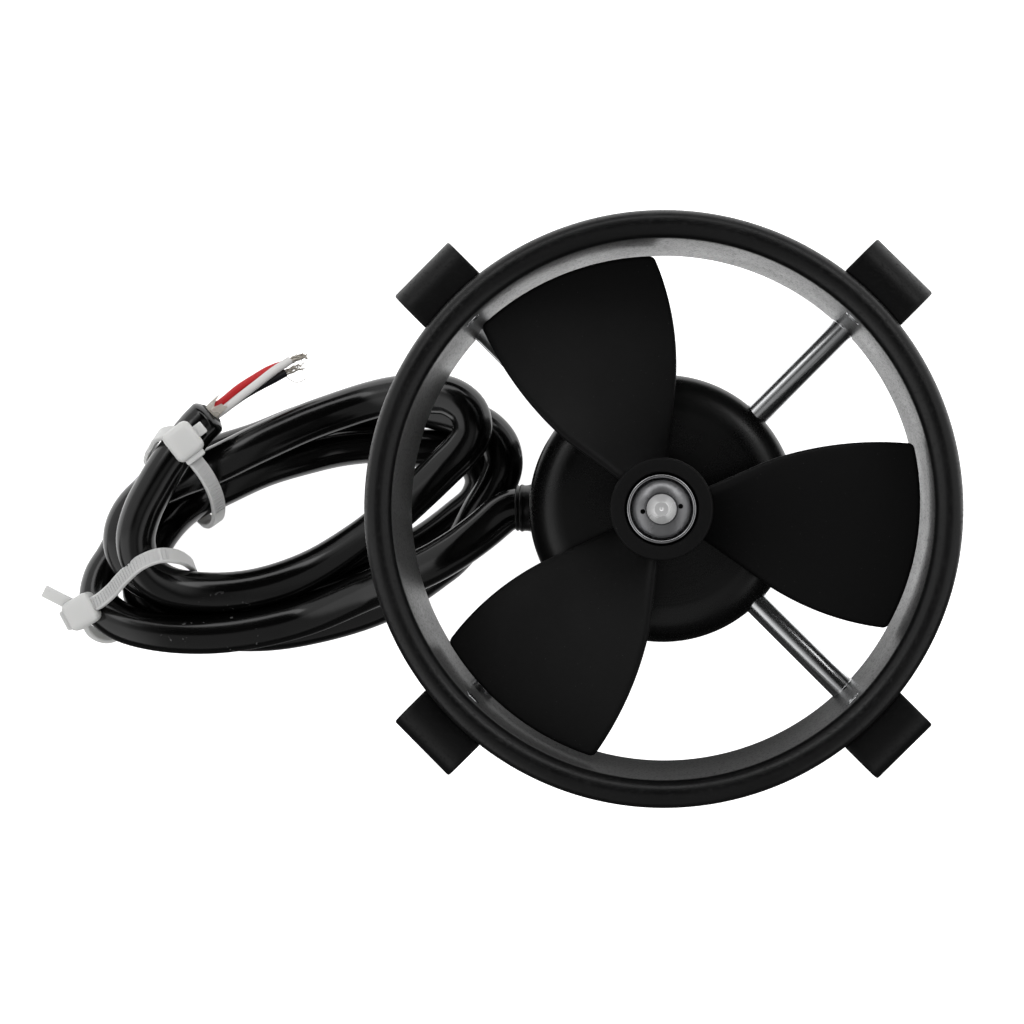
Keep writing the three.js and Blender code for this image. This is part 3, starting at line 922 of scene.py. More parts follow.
def circle_tree() -> bpy.types.NodeTree:
    """A tree that repeats the object's mesh round the duct axis.

    Returns:
        The tree, with inputs Count, First angle and Material.
    """
    tree = new_tree("Repeat round the axis", {"Count": "Int", "First angle": "Float", "Material": "Material"})
    nodes, links = tree.nodes, tree.links
    start = nodes.new("NodeGroupInput")
    start.label = "Sizes"
    places = nodes.new("GeometryNodeMeshLine")
    places.label = "One point a piece, on the axis"
    number = nodes.new("GeometryNodeInputIndex")
    number.label = "Piece number"
    share = nodes.new("ShaderNodeMath")
    share.label = "Share of a turn"
    share.operation = "DIVIDE"
    turn = nodes.new("ShaderNodeMath")
    turn.label = "Angle of this piece"
    turn.operation = "MULTIPLY_ADD"
    turn.inputs[1].default_value = 2 * math.pi
    spin = nodes.new("ShaderNodeCombineXYZ")
    spin.label = "Turned about the axis"
    copies = nodes.new("GeometryNodeInstanceOnPoints")
    copies.label = "Copies"
    real = nodes.new("GeometryNodeRealizeInstances")
    real.label = "Real mesh"
    dressed = nodes.new("GeometryNodeSetMaterial")
    dressed.label = "Finish"
    end = nodes.new("NodeGroupOutput")
    end.label = "Pieces"
    for node, x, y in (
        (start, -900, 0), (places, -500, 120), (number, -900, -260), (share, -700, -200),
        (turn, -500, -200), (spin, -300, -200), (copies, -100, 0), (real, 100, 0), (dressed, 300, 0),
        (end, 500, 0),
    ):
        node.location = (x, y)
    places.inputs["Offset"].default_value = (0, 0, 0)
    links.new(start.outputs["Count"], places.inputs["Count"])
    links.new(number.outputs[0], share.inputs[0])
    links.new(start.outputs["Count"], share.inputs[1])
    links.new(share.outputs[0], turn.inputs[0])
    links.new(start.outputs["First angle"], turn.inputs[2])
    links.new(turn.outputs[0], spin.inputs["Z"])
    links.new(places.outputs[0], copies.inputs["Points"])
    links.new(start.outputs["Geometry"], copies.inputs["Instance"])
    links.new(spin.outputs[0], copies.inputs["Rotation"])
    links.new(copies.outputs[0], real.inputs[0])
    links.new(real.outputs[0], dressed.inputs["Geometry"])
    links.new(start.outputs["Material"], dressed.inputs["Material"])
    links.new(dressed.outputs[0], end.inputs[0])
    return tree


def teeth_tree() -> bpy.types.NodeTree:
    """A tree that sets a tooth on each point of a strap, square to the strap.

    Returns:
        The tree, with inputs Tooth, for its three sizes, and Material.
    """
    tree = new_tree("Strap teeth", {"Tooth": "Vector", "Material": "Material"})
    nodes, links = tree.nodes, tree.links
    start = nodes.new("NodeGroupInput")
    start.label = "Sizes"
    tooth = nodes.new("GeometryNodeMeshCube")
    tooth.label = "One tooth"
    along = nodes.new("GeometryNodeInputNamedAttribute")
    along.label = "Along the strap"
    along.data_type = "FLOAT_VECTOR"
    along.inputs["Name"].default_value = "along"
    out = nodes.new("GeometryNodeInputNamedAttribute")
    out.label = "Out from the strap"
    out.data_type = "FLOAT_VECTOR"
    out.inputs["Name"].default_value = "out"
    first = nodes.new("FunctionNodeAlignRotationToVector")
    first.label = "Lies along the strap"
    first.axis = "X"
    second = nodes.new("FunctionNodeAlignRotationToVector")
    second.label = "Stands out from it"
    second.axis = "Z"
    second.pivot_axis = "X"
    copies = nodes.new("GeometryNodeInstanceOnPoints")
    copies.label = "Teeth"
    real = nodes.new("GeometryNodeRealizeInstances")
    real.label = "Real mesh"
    dressed = nodes.new("GeometryNodeSetMaterial")
    dressed.label = "Finish"
    end = nodes.new("NodeGroupOutput")
    end.label = "Row of teeth"
    for node, x, y in (
        (start, -900, 200), (tooth, -500, 260), (along, -900, -60), (out, -900, -260), (first, -600, -60),
        (second, -380, -120), (copies, -140, 60), (real, 80, 60), (dressed, 280, 60), (end, 480, 60),
    ):
        node.location = (x, y)
    links.new(start.outputs["Geometry"], copies.inputs["Points"])
    links.new(start.outputs["Tooth"], tooth.inputs["Size"])
    links.new(tooth.outputs["Mesh"], copies.inputs["Instance"])
    links.new(along.outputs["Attribute"], first.inputs["Vector"])
    links.new(first.outputs["Rotation"], second.inputs["Rotation"])
    links.new(out.outputs["Attribute"], second.inputs["Vector"])
    links.new(second.outputs["Rotation"], copies.inputs["Rotation"])
    links.new(copies.outputs[0], real.inputs[0])
    links.new(real.outputs[0], dressed.inputs["Geometry"])
    links.new(start.outputs["Material"], dressed.inputs["Material"])
    links.new(dressed.outputs[0], end.inputs[0])
    return tree


def strands_tree() -> bpy.types.NodeTree:
    """A tree that makes a frayed bundle of fine wires along +X.

    Returns:
        The tree, with inputs Count, Length, Bundle radius, Wire radius, Fray, Seed and Material.
    """
    lengths = dict.fromkeys(("Length", "Bundle radius", "Wire radius", "Fray"), "Float")
    tree = new_tree("Frayed wires", {"Count": "Int", **lengths, "Seed": "Int", "Material": "Material"})
    nodes, links = tree.nodes, tree.links
    start = nodes.new("NodeGroupInput")
    start.label = "Sizes"
    places = nodes.new("GeometryNodeMeshCircle")
    places.label = "Roots of the wires"
    places.fill_type = "NONE"
    stand = nodes.new("GeometryNodeTransform")
    stand.label = "Square to the bundle"
    stand.inputs["Rotation"].default_value = (0, math.pi / 2, 0)
    inset = nodes.new("FunctionNodeRandomValue")
    inset.label = "Each at its own depth"
    inset.data_type = "FLOAT"
    where = nodes.new("GeometryNodeInputPosition")
    where.label = "Root"
    shrunk = nodes.new("ShaderNodeVectorMath")
    shrunk.label = "Nearer the middle"
    shrunk.operation = "SCALE"
    packed = nodes.new("GeometryNodeSetPosition")
    packed.label = "Packed roots"
    tip = nodes.new("ShaderNodeCombineXYZ")
    tip.label = "Far end"
    line = nodes.new("GeometryNodeCurvePrimitiveLine")
    line.label = "One wire"
    fine = nodes.new("GeometryNodeResampleCurve")
    fine.label = "Points along it"
    fine.inputs["Count"].default_value = 14
    copies = nodes.new("GeometryNodeInstanceOnPoints")
    copies.label = "All the wires"
    reach = nodes.new("FunctionNodeRandomValue")
    reach.label = "Uneven lengths"
    reach.data_type = "FLOAT"
    real = nodes.new("GeometryNodeRealizeInstances")
    real.label = "Real curves"
    along = nodes.new("GeometryNodeSplineParameter")
    along.label = "Way along the wire"
    bend = nodes.new("ShaderNodeMath")
    bend.label = "More at the tip"
    bend.operation = "POWER"
    bend.inputs[1].default_value = 1.7
    place = nodes.new("GeometryNodeInputPosition")
    place.label = "Place"
    kink = nodes.new("ShaderNodeTexNoise")
    kink.label = "Kinks"
    kink.inputs["Scale"].default_value = 1400
    kink.inputs["Detail"].default_value = 1
    middle = nodes.new("ShaderNodeVectorMath")
    middle.label = "Either way"
    middle.operation = "SUBTRACT"
    middle.inputs[1].default_value = (0.5, 0.5, 0.5)
    amount = nodes.new("ShaderNodeMath")
    amount.label = "How far it strays"
    amount.operation = "MULTIPLY"
    stray = nodes.new("ShaderNodeVectorMath")
    stray.label = "Stray"
    stray.operation = "SCALE"
    frayed = nodes.new("GeometryNodeSetPosition")
    frayed.label = "Frayed wires"
    ring = nodes.new("GeometryNodeCurvePrimitiveCircle")
    ring.label = "Section of a wire"
    ring.inputs["Resolution"].default_value = 6
    round_wire = nodes.new("GeometryNodeCurveToMesh")
    round_wire.label = "Round wires"
    round_wire.inputs["Fill Caps"].default_value = True
    dressed = nodes.new("GeometryNodeSetMaterial")
    dressed.label = "Finish"
    end = nodes.new("NodeGroupOutput")
    end.label = "Bundle"
    for node, x, y in (
        (start, -1500, 0), (places, -1250, 300), (stand, -1050, 300), (inset, -1250, 60),
        (where, -1250, -120), (shrunk, -1050, -40), (packed, -850, 260), (tip, -1050, -260),
        (line, -850, -200), (fine, -650, -200), (copies, -450, 200), (reach, -850, 20), (real, -250, 200),
        (along, -650, -420), (bend, -450, -420), (place, -850, -560), (kink, -650, -600),
        (middle, -450, -600), (amount, -250, -420), (stray, -60, -420), (frayed, 120, 160),
        (ring, 120, -120), (round_wire, 320, 100), (dressed, 520, 100), (end, 720, 100),
    ):
        node.location = (x, y)
    inset.inputs[2].default_value = 0.15
    inset.inputs[3].default_value = 1.0
    reach.inputs[2].default_value = 0.55
    reach.inputs[3].default_value = 1.0
    links.new(start.outputs["Count"], places.inputs["Vertices"])
    links.new(start.outputs["Bundle radius"], places.inputs["Radius"])
    links.new(places.outputs[0], stand.inputs["Geometry"])
    links.new(stand.outputs[0], packed.inputs["Geometry"])
    links.new(start.outputs["Seed"], inset.inputs["Seed"])
    links.new(where.outputs[0], shrunk.inputs[0])
    links.new(inset.outputs[1], shrunk.inputs["Scale"])
    links.new(shrunk.outputs[0], packed.inputs["Position"])
    links.new(start.outputs["Length"], tip.inputs["X"])
    links.new(tip.outputs[0], line.inputs["End"])
    links.new(line.outputs[0], fine.inputs["Curve"])
    links.new(packed.outputs[0], copies.inputs["Points"])
    links.new(fine.outputs[0], copies.inputs["Instance"])
    links.new(start.outputs["Seed"], reach.inputs["Seed"])
    links.new(reach.outputs[1], copies.inputs["Scale"])
    links.new(copies.outputs[0], real.inputs[0])
    links.new(along.outputs["Factor"], bend.inputs[0])
    links.new(place.outputs[0], kink.inputs["Vector"])
    links.new(kink.outputs["Color"], middle.inputs[0])
    links.new(bend.outputs[0], amount.inputs[0])
    links.new(start.outputs["Fray"], amount.inputs[1])
    links.new(middle.outputs[0], stray.inputs[0])
    links.new(amount.outputs[0], stray.inputs["Scale"])
    links.new(real.outputs[0], frayed.inputs["Geometry"])
    links.new(stray.outputs[0], frayed.inputs["Offset"])
    links.new(start.outputs["Wire radius"], ring.inputs["Radius"])
    links.new(frayed.outputs[0], round_wire.inputs["Curve"])
    links.new(ring.outputs[0], round_wire.inputs["Profile Curve"])
    links.new(round_wire.outputs[0], dressed.inputs["Geometry"])
    links.new(start.outputs["Material"], dressed.inputs["Material"])
    links.new(dressed.outputs[0], end.inputs[0])
    return tree


# Studio


@dataclass
class Studio:
    """Camera, pale floor and soft light."""

    eye: Point3 = (2.42, 1.76, 399.92)
    tilt: Point3 = (-0.359, 3.898, -0.017)
    lens: float = 85.95
    floor_half: float = 3000.0
    white: float = 1.05
    floor_glow: float = 1.0
    mirror_floor: Point2 = (0.02, 0.8)
    lamp_place: Point3 = (160.0, 330.0, 430.0)
    lamp_target: Point3 = (-10.0, 0.0, 20.0)
    lamp_size: float = 160.0
    lamp_power: float = 0.9

    def build(self) -> None:
        """Makes the camera, the floor, the surroundings and the lamp."""
        self.camera()
        self.floor()
        self.surroundings()
        self.lamp()

    def camera(self) -> None:
        """Makes the camera and makes it the scene's own."""
        data = bpy.data.cameras.new("camera")
        data.lens = self.lens
        data.sensor_width = 36
        data.clip_start = 0.01
        data.clip_end = 20
        camera = linked("camera", data)
        camera.location = Vector(self.eye) * MM
        camera.rotation_euler = Euler([math.radians(a) for a in self.tilt])
        bpy.context.scene.camera = camera

    def floor(self) -> None:
        """Makes the floor, lit from under so that it stays white, and dimmer in front in reflections."""
        half = self.floor_half
        corners = [(-half, -half, 0), (half, -half, 0), (half, half, 0), (-half, half, 0)]
        made = mesh_object("floor", [Vector(c) for c in corners], [(0, 1, 2, 3)])
        material, nodes, links = new_material("floor_white")
        ray = nodes.new("ShaderNodeLightPath")
        ray.label = "What looks at the floor"
        place = nodes.new("ShaderNodeTexCoord")
        place.label = "Place on the floor"
        apart = nodes.new("ShaderNodeSeparateXYZ")
        apart.label = "Front to back"
        fade = nodes.new("ShaderNodeMapRange")
        fade.label = "Dimmer in front"
        fade.interpolation_type = "SMOOTHSTEP"
        for name, value in (
            ("From Min", -31 * MM), ("From Max", -6 * MM), ("To Min", self.mirror_floor[0]),
            ("To Max", self.mirror_floor[1]),
        ):
            fade.inputs[name].default_value = value
        mirrored = nodes.new("ShaderNodeMath")
        mirrored.label = "As seen in reflections"
        mirrored.operation = "MULTIPLY"
        shade = nodes.new("ShaderNodeMix")
        shade.label = "Dimmer in reflections"
        shade.data_type = "RGBA"
        shade.inputs["A"].default_value = (0.88, 0.88, 0.88, 1)
        paper = nodes.new("ShaderNodeBsdfDiffuse")
        paper.label = "Paper"
        glow = nodes.new("ShaderNodeEmission")
        glow.label = "Light from under the paper"
        lift = nodes.new("ShaderNodeMath")
        lift.label = "As seen by the eye, or else in reflections"
        lift.operation = "MULTIPLY_ADD"
        lift.inputs[1].default_value = self.floor_glow
        both = nodes.new("ShaderNodeAddShader")
        both.label = "Lit paper"
        output = nodes.new("ShaderNodeOutputMaterial")
        output.label = "Surface"
        for node, x, y in (
            (ray, -800, 200), (place, -1000, -100), (apart, -800, -100), (fade, -600, -100),
            (mirrored, -400, 0), (shade, -400, -200), (paper, -200, -60), (lift, -300, 240),
            (glow, -200, 200), (both, 0, 100), (output, 200, 100),
        ):
            node.location = (x, y)
        links.new(place.outputs["Object"], apart.inputs[0])
        links.new(apart.outputs["Y"], fade.inputs["Value"])
        links.new(fade.outputs["Result"], mirrored.inputs[0])
        links.new(ray.outputs["Is Glossy Ray"], mirrored.inputs[1])
        links.new(fade.outputs["Result"], shade.inputs["B"])
        links.new(ray.outputs["Is Glossy Ray"], shade.inputs["Factor"])
        links.new(shade.outputs["Result"], paper.inputs["Color"])
        links.new(ray.outputs["Is Camera Ray"], lift.inputs[0])
        links.new(mirrored.outputs[0], lift.inputs[2])
        links.new(lift.outputs[0], glow.inputs["Strength"])
        links.new(paper.outputs[0], both.inputs[0])
        links.new(glow.outputs[0], both.inputs[1])
        links.new(both.outputs[0], output.inputs["Surface"])
        made.data.materials.append(material)

    def surroundings(self) -> None:
        """Makes a white room, which reflects as a dark one with bright sides and half a ring lamp."""
        world = bpy.data.worlds.new("studio")
        bpy.context.scene.world = world
        world.use_nodes = True
        nodes, links = world.node_tree.nodes, world.node_tree.links
        nodes.clear()
        ray = nodes.new("ShaderNodeLightPath")
        ray.label = "Seen in a reflection"
        coordinates = nodes.new("ShaderNodeTexCoord")
        coordinates.label = "Direction"
        apart = nodes.new("ShaderNodeSeparateXYZ")
        apart.label = "Sideways, back and up"
        front = nodes.new("ShaderNodeMapRange")
        front.label = "Grey front wall"
        front.interpolation_type = "SMOOTHSTEP"
        for name, value in (("From Min", -0.01), ("From Max", -0.07), ("To Min", 0.006), ("To Max", 0.38)):
            front.inputs[name].default_value = value
        near = nodes.new("ShaderNodeMapRange")
        near.label = "Ends at the right"
        near.interpolation_type = "SMOOTHSTEP"
        for name, value in (("From Min", 0.38), ("From Max", 0.15), ("To Min", 0.08)):
            near.inputs[name].default_value = value
        wall = nodes.new("ShaderNodeMath")
        wall.label = "Front wall"
        wall.operation = "MULTIPLY"
        aside = nodes.new("ShaderNodeMath")
        aside.label = "Either side"
        aside.operation = "ABSOLUTE"
        sides = nodes.new("ShaderNodeMapRange")
        sides.label = "Bright side walls"
        sides.interpolation_type = "SMOOTHSTEP"
        for name, value in (("From Min", 0.3), ("From Max", 0.62), ("To Max", 1.0)):
            sides.inputs[name].default_value = value
        around = nodes.new("ShaderNodeVectorMath")
        around.label = "From the middle of the ring lamp"
        around.operation = "DOT_PRODUCT"
        around.inputs[1].default_value = (0, 0.479, 0.878)
        band = nodes.new("ShaderNodeMath")
        band.label = "On the ring lamp"
        band.operation = "COMPARE"
        band.inputs[1].default_value = 0.85
        band.inputs[2].default_value = 0.07
        behind = nodes.new("ShaderNodeMapRange")
        behind.label = "Back half only"
        behind.interpolation_type = "SMOOTHSTEP"
        for name, value in (("From Min", 0.3), ("From Max", 0.5), ("To Max", 2.8)):
            behind.inputs[name].default_value = value
        lamp = nodes.new("ShaderNodeMath")
        lamp.label = "Half ring lamp"
        lamp.operation = "MULTIPLY"
        walls = nodes.new("ShaderNodeMath")
        walls.label = "All walls"
        walls.operation = "ADD"
        both = nodes.new("ShaderNodeMath")
        both.label = "Walls and lamp"
        both.operation = "ADD"
        room = nodes.new("ShaderNodeBackground")
        room.label = "White room"
        room.inputs["Strength"].default_value = self.white
        mirror = nodes.new("ShaderNodeBackground")
        mirror.label = "Room in reflections"
        pick = nodes.new("ShaderNodeMixShader")
        pick.label = "Which of them"
        output = nodes.new("ShaderNodeOutputWorld")
        output.label = "Surroundings"
        for node, x, y in (
            (ray, 0, 300), (coordinates, -1400, 0), (apart, -1200, 100), (front, -1000, 300),
            (near, -1000, 100), (wall, -800, 200), (aside, -1000, -100), (sides, -800, -60),
            (around, -1200, -300), (band, -1000, -300), (behind, -1000, -500), (lamp, -800, -360),
            (walls, -600, 60), (both, -400, -60), (room, -200, 120), (mirror, -200, -40), (pick, 200, 60),
            (output, 400, 60),
        ):
            node.location = (x, y)
        links.new(coordinates.outputs["Generated"], apart.inputs[0])
        links.new(apart.outputs["Y"], front.inputs["Value"])
        links.new(apart.outputs["X"], near.inputs["Value"])
        links.new(front.outputs["Result"], wall.inputs[0])
        links.new(near.outputs["Result"], wall.inputs[1])
        links.new(apart.outputs["X"], aside.inputs[0])
        links.new(aside.outputs[0], sides.inputs["Value"])
        links.new(wall.outputs[0], walls.inputs[0])
        links.new(sides.outputs["Result"], walls.inputs[1])
        links.new(coordinates.outputs["Generated"], around.inputs[0])
        links.new(around.outputs["Value"], band.inputs[0])
        links.new(apart.outputs["Y"], behind.inputs["Value"])
        links.new(band.outputs[0], lamp.inputs[0])
        links.new(behind.outputs["Result"], lamp.inputs[1])
        links.new(walls.outputs[0], both.inputs[0])
        links.new(lamp.outputs[0], both.inputs[1])
        links.new(both.outputs[0], mirror.inputs["Strength"])
        links.new(ray.outputs["Is Glossy Ray"], pick.inputs["Fac"])
        links.new(room.outputs[0], pick.inputs[1])
        links.new(mirror.outputs[0], pick.inputs[2])
        links.new(pick.outputs[0], output.inputs["Surface"])
        bpy.context.scene.view_settings.view_transform = "Standard"

    def lamp(self) -> None:
        """Adds the one soft square lamp, which doesn't show in reflections."""
        data = bpy.data.lights.new("key", "AREA")
        data.shape = "RECTANGLE"
        data.size = self.lamp_size * MM
        data.size_y = self.lamp_size * MM
        data.energy = self.lamp_power
        made = linked("key", data)
        made.visible_glossy = False
        made.location = Vector(self.lamp_place) * MM
        way = Vector(self.lamp_target) - Vector(self.lamp_place)
        made.rotation_euler = way.to_track_quat("-Z", "Y").to_euler()


# Signal cable


@dataclass
class SignalCable:
    """The black cable from the gland through its coil to its bare end, with its three cores."""

    finishes: Finishes
    radius: float = 3.15
    length: float = 541.0
    exit: Point3 = (-22.2, 0.0, 21.5)
    strap_lift: float = 1.05
    strap_start: float = -60.0
    strap_ramp: float = 9.0
    core_radius: float = 0.68
    taper: int = 7
    # Out of the gland and down onto the coil.
    lead: tuple[Point3, ...] = (
        (-22.5, 0, 21.5), (-23.3, -0.1, 21.5), (-24.6, -0.7, 21.4), (-25.9, -1.7, 21.2), (-27.2, -2.8, 20.9),
        (-28.6, -3.9, 20.5), (-30.1, -5, 20), (-31.7, -6.1, 19.4), (-33.3, -7.1, 18.8), (-35, -8.1, 18.2),
        (-36.7, -9, 17.6), (-38.4, -9.8, 17), (-40.1, -10.5, 16.6), (-41.8, -11.1, 16.3), (-42.6, -11.4, 16.2),
    )
    # One list a turn, from the near side round the far end and back to the end by the duct.
    turns: tuple[tuple[Point3, ...], ...] = (
        (
            (-47.3, -13.3, 13.2), (-56.9, -17.3, 9.8), (-65, -19.4, 9.5), (-73, -20.4, 9.5), (-81.5, -20.0, 9.3),
            (-88, -18.3, 8.2), (-91.6, -15.4, 6.4), (-91.5, -11.4, 4.8), (-89.7, -8, 3.6), (-88, -4.5, 3.2),
            (-86.9, -1, 3.2), (-84.3, 2.4, 3.2), (-80.5, 5.4, 3.2), (-73, 8.6, 3.2), (-66, 10.9, 3.2),
            (-59.3, 13.6, 3.2), (-53, 15.3, 3.2), (-47.5, 16.2, 3.2), (-42, 16.7, 3.6), (-36.6, 15.7, 5.2),
            (-31.7, 14.3, 7.2), (-28.1, 12.4, 8.7), (-26.1, 9.9, 9.2),
        ),
        (
            (-25.6, 6.7, 9.3), (-26.9, 3.1, 9.2), (-29.4, -1, 9), (-31.8, -5.3, 8.6), (-34.2, -8.1, 8),
            (-36.8, -10.1, 7.2), (-41.5, -13.3, 5.2), (-47.2, -16.2, 3.5), (-55.6, -18.8, 3.2),
            (-64.5, -20.3, 3.2), (-73, -20.1, 3.2), (-80.6, -18.6, 3.2), (-85.1, -14.8, 3.2), (-84.9, -9.8, 3.2),
            (-83.2, -5.6, 3.2), (-80.4, -1.9, 3.6), (-76.6, 1, 5.4), (-71.8, 3.1, 7.4), (-64.6, 6.4, 7.8),
            (-57.9, 8.5, 6.6), (-52, 9.9, 4.6), (-46, 10.4, 3.3), (-40.2, 9.7, 3.2), (-35, 9.5, 3.2),
            (-30.9, 8, 3.2),
        ),
        (
            (-29.2, 4.6, 3.2), (-30.2, 1.2, 3.2), (-33.6, -1.9, 3.2), (-38.6, -5.6, 3.2), (-44.2, -8.6, 3.2),
            (-50.5, -11.2, 3.2), (-57.3, -13.3, 3.2), (-66, -14.6, 3.2), (-74.5, -14.4, 3.9),
            (-80.4, -13.2, 6.6), (-84.6, -10.6, 9.2), (-86.8, -7.2, 9.5), (-87, -3.9, 9.5), (-85.6, -0.6, 9.5),
            (-82.6, 2.4, 9.5), (-78, 4.5, 10), (-72, 6.6, 11.6), (-65.2, 9.8, 12.9), (-57.1, 13.5, 12.3),
            (-52.6, 15.2, 11.4), (-47, 17, 11.2), (-42.6, 17.9, 12.2), (-37.8, 18.1, 13.8), (-33.6, 17.6, 15),
            (-30.7, 15.4, 15.6),
        ),
        (
            (-30, 12.1, 15.6), (-31.5, 9.4, 15.2), (-34.6, 6.4, 14.4), (-38.6, 2.7, 13.2), (-43, -1.1, 11.8),
            (-48.6, -5.3, 10.6), (-56.9, -10.1, 9.7), (-66, -13, 9.7), (-74, -13.4, 11.2), (-79.4, -12.2, 13.2),
            (-82.7, -9.2, 14.8), (-83.6, -5, 15.6), (-82.5, -0.6, 15.7), (-80.3, 3.6, 15.7), (-78.2, 7, 15.6),
            (-76.1, 9.8, 15.4),
        ),
    )
    # The end of the jacket, beside the first tie's head.
    tail: tuple[Point3, ...] = ((-73.6, 12.9, 16.1), (-72.9, 13.6, 16.1), (-72.2, 14.3, 16.1), (-71.5, 15, 16.1))

    def build(self, ties: tuple["CableTie", ...]) -> None:
        """Makes the cable, its cut end, its cores, their bare wires and its ties.

        Args:
            ties: The ties round the coil.
        """
        line = self.route()
        cable = self.tube("signal_cable", line, self.radius, 10)
        for i in range(self.taper + 1):
            share = 1 - i / self.taper
            cable.data.splines[0].points[-1 - i].radius = math.sqrt(1 - 0.6 * share * share)
        finish_piece(
            cable, self.finishes.jacket, ("cable_lead", "cable_coil", "cable_tail")
        )
        end, way = line[-1], (line[-1] - line[-2]).normalized()
        place = Matrix.Translation(end * MM) @ way.to_track_quat("Z", "Y").to_matrix().to_4x4()
        pieces = [self.cut_end(place), self.wrap(place)]
        pieces += self.cores(end, way)
        pieces += [tie.build() for tie in ties]

    def route(self) -> list[Vector]:
        """The cable's centreline, lifted where it lies on the straps, in millimetres."""
        points = list(self.lead)
        for turn in self.turns:
            for x, y, z in turn:
                share = min(1.0, max(0.0, (self.strap_start - x) / self.strap_ramp))
                points.append((x, y, z + self.strap_lift * share * share * (3 - 2 * share)))
        return smooth_route([*points, *self.tail], 6)

    @staticmethod
    def tube(name: str, line: list[Vector], radius: float, resolution: int) -> bpy.types.Object:
        """A round bar along a line, as a curve.

        Args:
            name: The object's name.
            line: The centreline, in millimetres.
            radius: The bar's radius, in millimetres.
            resolution: Fineness of its section.

        Returns:
            The curve object.
        """
        data = bpy.data.curves.new(name, "CURVE")
        data.dimensions = "3D"
        data.bevel_depth = radius * MM
        data.bevel_resolution = resolution
        data.use_fill_caps = True
        spline = data.splines.new("POLY")
        spline.points.add(len(line) - 1)
        for point, place in zip(spline.points, line):
            point.co = (*(place * MM), 1)
        spline.use_smooth = True
        return linked(name, data)

    def cut_end(self, place: Matrix) -> bpy.types.Object:
        """The matt ring where the jacket was cut.

        Args:
            place: Where the cable ends and the way that it points.

        Returns:
            The piece.
        """
        profile = [
            (0, -0.8), (1.8, -0.8), (2.04, -0.45), (2.02, 0.0), (1.75, 0.16), (1.4, 0.1), (1.3, -0.2), (0, -0.2),
        ]
        made = smooth(placed(lathe("cable_cut_end", profile, 40), place), 50)
        return finish_piece(made, self.finishes.cut_jacket)

    def wrap(self, place: Matrix) -> bpy.types.Object:
        """The crinkled clear wrap that stands out of the jacket round the cores.

        Args:
            place: Where the cable ends and the way that it points.

        Returns:
            The piece.
        """
        sides, rows, points, faces = 36, 7, [], []
        for wall in (0.0, 0.12):
            for row in range(rows + 1):
                up = row / rows
                for i in range(sides):
                    turn = 2 * math.pi * i / sides
                    crease = 0.16 * math.sin(5 * turn + 2 * up) + 0.1 * math.sin(11 * turn - 3 * up)
                    radius = 1.35 - 0.1 * up + 0.6 * crease * (0.4 + up) - wall
                    tall = -0.3 + up * (2.3 + 0.6 * math.sin(3 * turn + 1) + 0.3 * math.sin(8 * turn))
                    points.append(Vector((radius * math.cos(turn), radius * math.sin(turn), tall)))
        shell = sides * (rows + 1)
        for wall in (0, shell):
            for row in range(rows):
                for i in range(sides):
                    a = wall + row * sides + i
                    b = wall + row * sides + (i + 1) % sides
                    faces.append((a, b, b + sides, a + sides))
        for edge in (0, rows * sides):
            for i in range(sides):
                a, b = edge + i, edge + (i + 1) % sides
                faces.append((a, b, b + shell, a + shell))
        made = smooth(placed(mesh_object("core_wrap", points, faces), place), 60)
        return finish_piece(made, self.finishes.film)

    def cores(self, end: Vector, way: Vector) -> list[bpy.types.Object]:
        """The three insulated cores, each with its frayed bare wires.

        Args:
            end: End of the centreline, in millimetres.
            way: The direction that the cable ends in.

        Returns:
            The pieces.
        """
        side = way.cross(Vector((0, 0, 1))).normalized()
        made = self.finishes
        cores = (
            (
                "red", made.red, Slot.RED,
                end - side * 0.7 + Vector((0, 0, 0.35)) - way,
                [(-69.9, 16.9, 15.1), (-67.6, 18.9, 14.4), (-65.2, 20.6, 13.4), (-62.9, 22.1, 12.1),
                 (-60.6, 23.1, 10.6)],
                (1.0, 0.5, -0.1),
            ),
            (
                "white", made.white, Slot.WHITE,
                end + side * 0.55 + Vector((0, 0, 0.5)) - way,
                [(-69.4, 15.8, 15.4), (-66.9, 17.8, 15.1), (-64.4, 19.8, 14.5), (-61.9, 21.9, 13.4),
                 (-59.6, 23.6, 12)],
                (1.0, 0.35, -0.35),
            ),
            (
                "black", made.black, Slot.BLACK,
                end + side * 0.1 + Vector((0, 0, -0.7)) - way,
                [(-69.4, 16.2, 13.4), (-66.9, 18.0, 12.8), (-64.4, 19.5, 12.2), (-62.4, 20.6, 11.5),
                 (-60.6, 21.7, 10.7)],
                (1.0, 0.4, 0.05),
            ),
        )
        tree = strands_tree()
        pieces = []
        for number, (name, material, slot, root, points, fan) in enumerate(cores):
            line = smooth_route([tuple(root), *points], 8)
            core = self.tube(f"core_{name}", line, self.core_radius, 6)
            pieces.append(finish_piece(core, material, (f"wire_{name}",)))
            wires = mesh_object(f"bare_wires_{name}", [Vector((0, 0, 0))], [])
            run_tree(
                wires,
                tree,
                {
                    "Count": 13, "Length": 3.6 * MM, "Bundle radius": 0.42 * MM, "Wire radius": 0.085 * MM,
                    "Fray": 2.6 * MM, "Seed": 7 + 3 * number, "Material": self.finishes.strands,
                },
            )
            turn = Vector(fan).to_track_quat("X", "Z").to_matrix().to_4x4()
            stripped = line[-1] - (line[-1] - line[-2]).normalized() * 0.3
            placed(wires, Matrix.Translation(stripped * MM) @ turn)
            pieces.append(finish_piece(wires, self.finishes.strands))
        hair = smooth_route(
            [(-60.8, 21.6, 10.6), (-60, 20.7, 10.2), (-59.1, 20.2, 9.9), (-58.2, 20.3, 9.8), (-57.4, 20.8, 9.8)],
            6,
        )
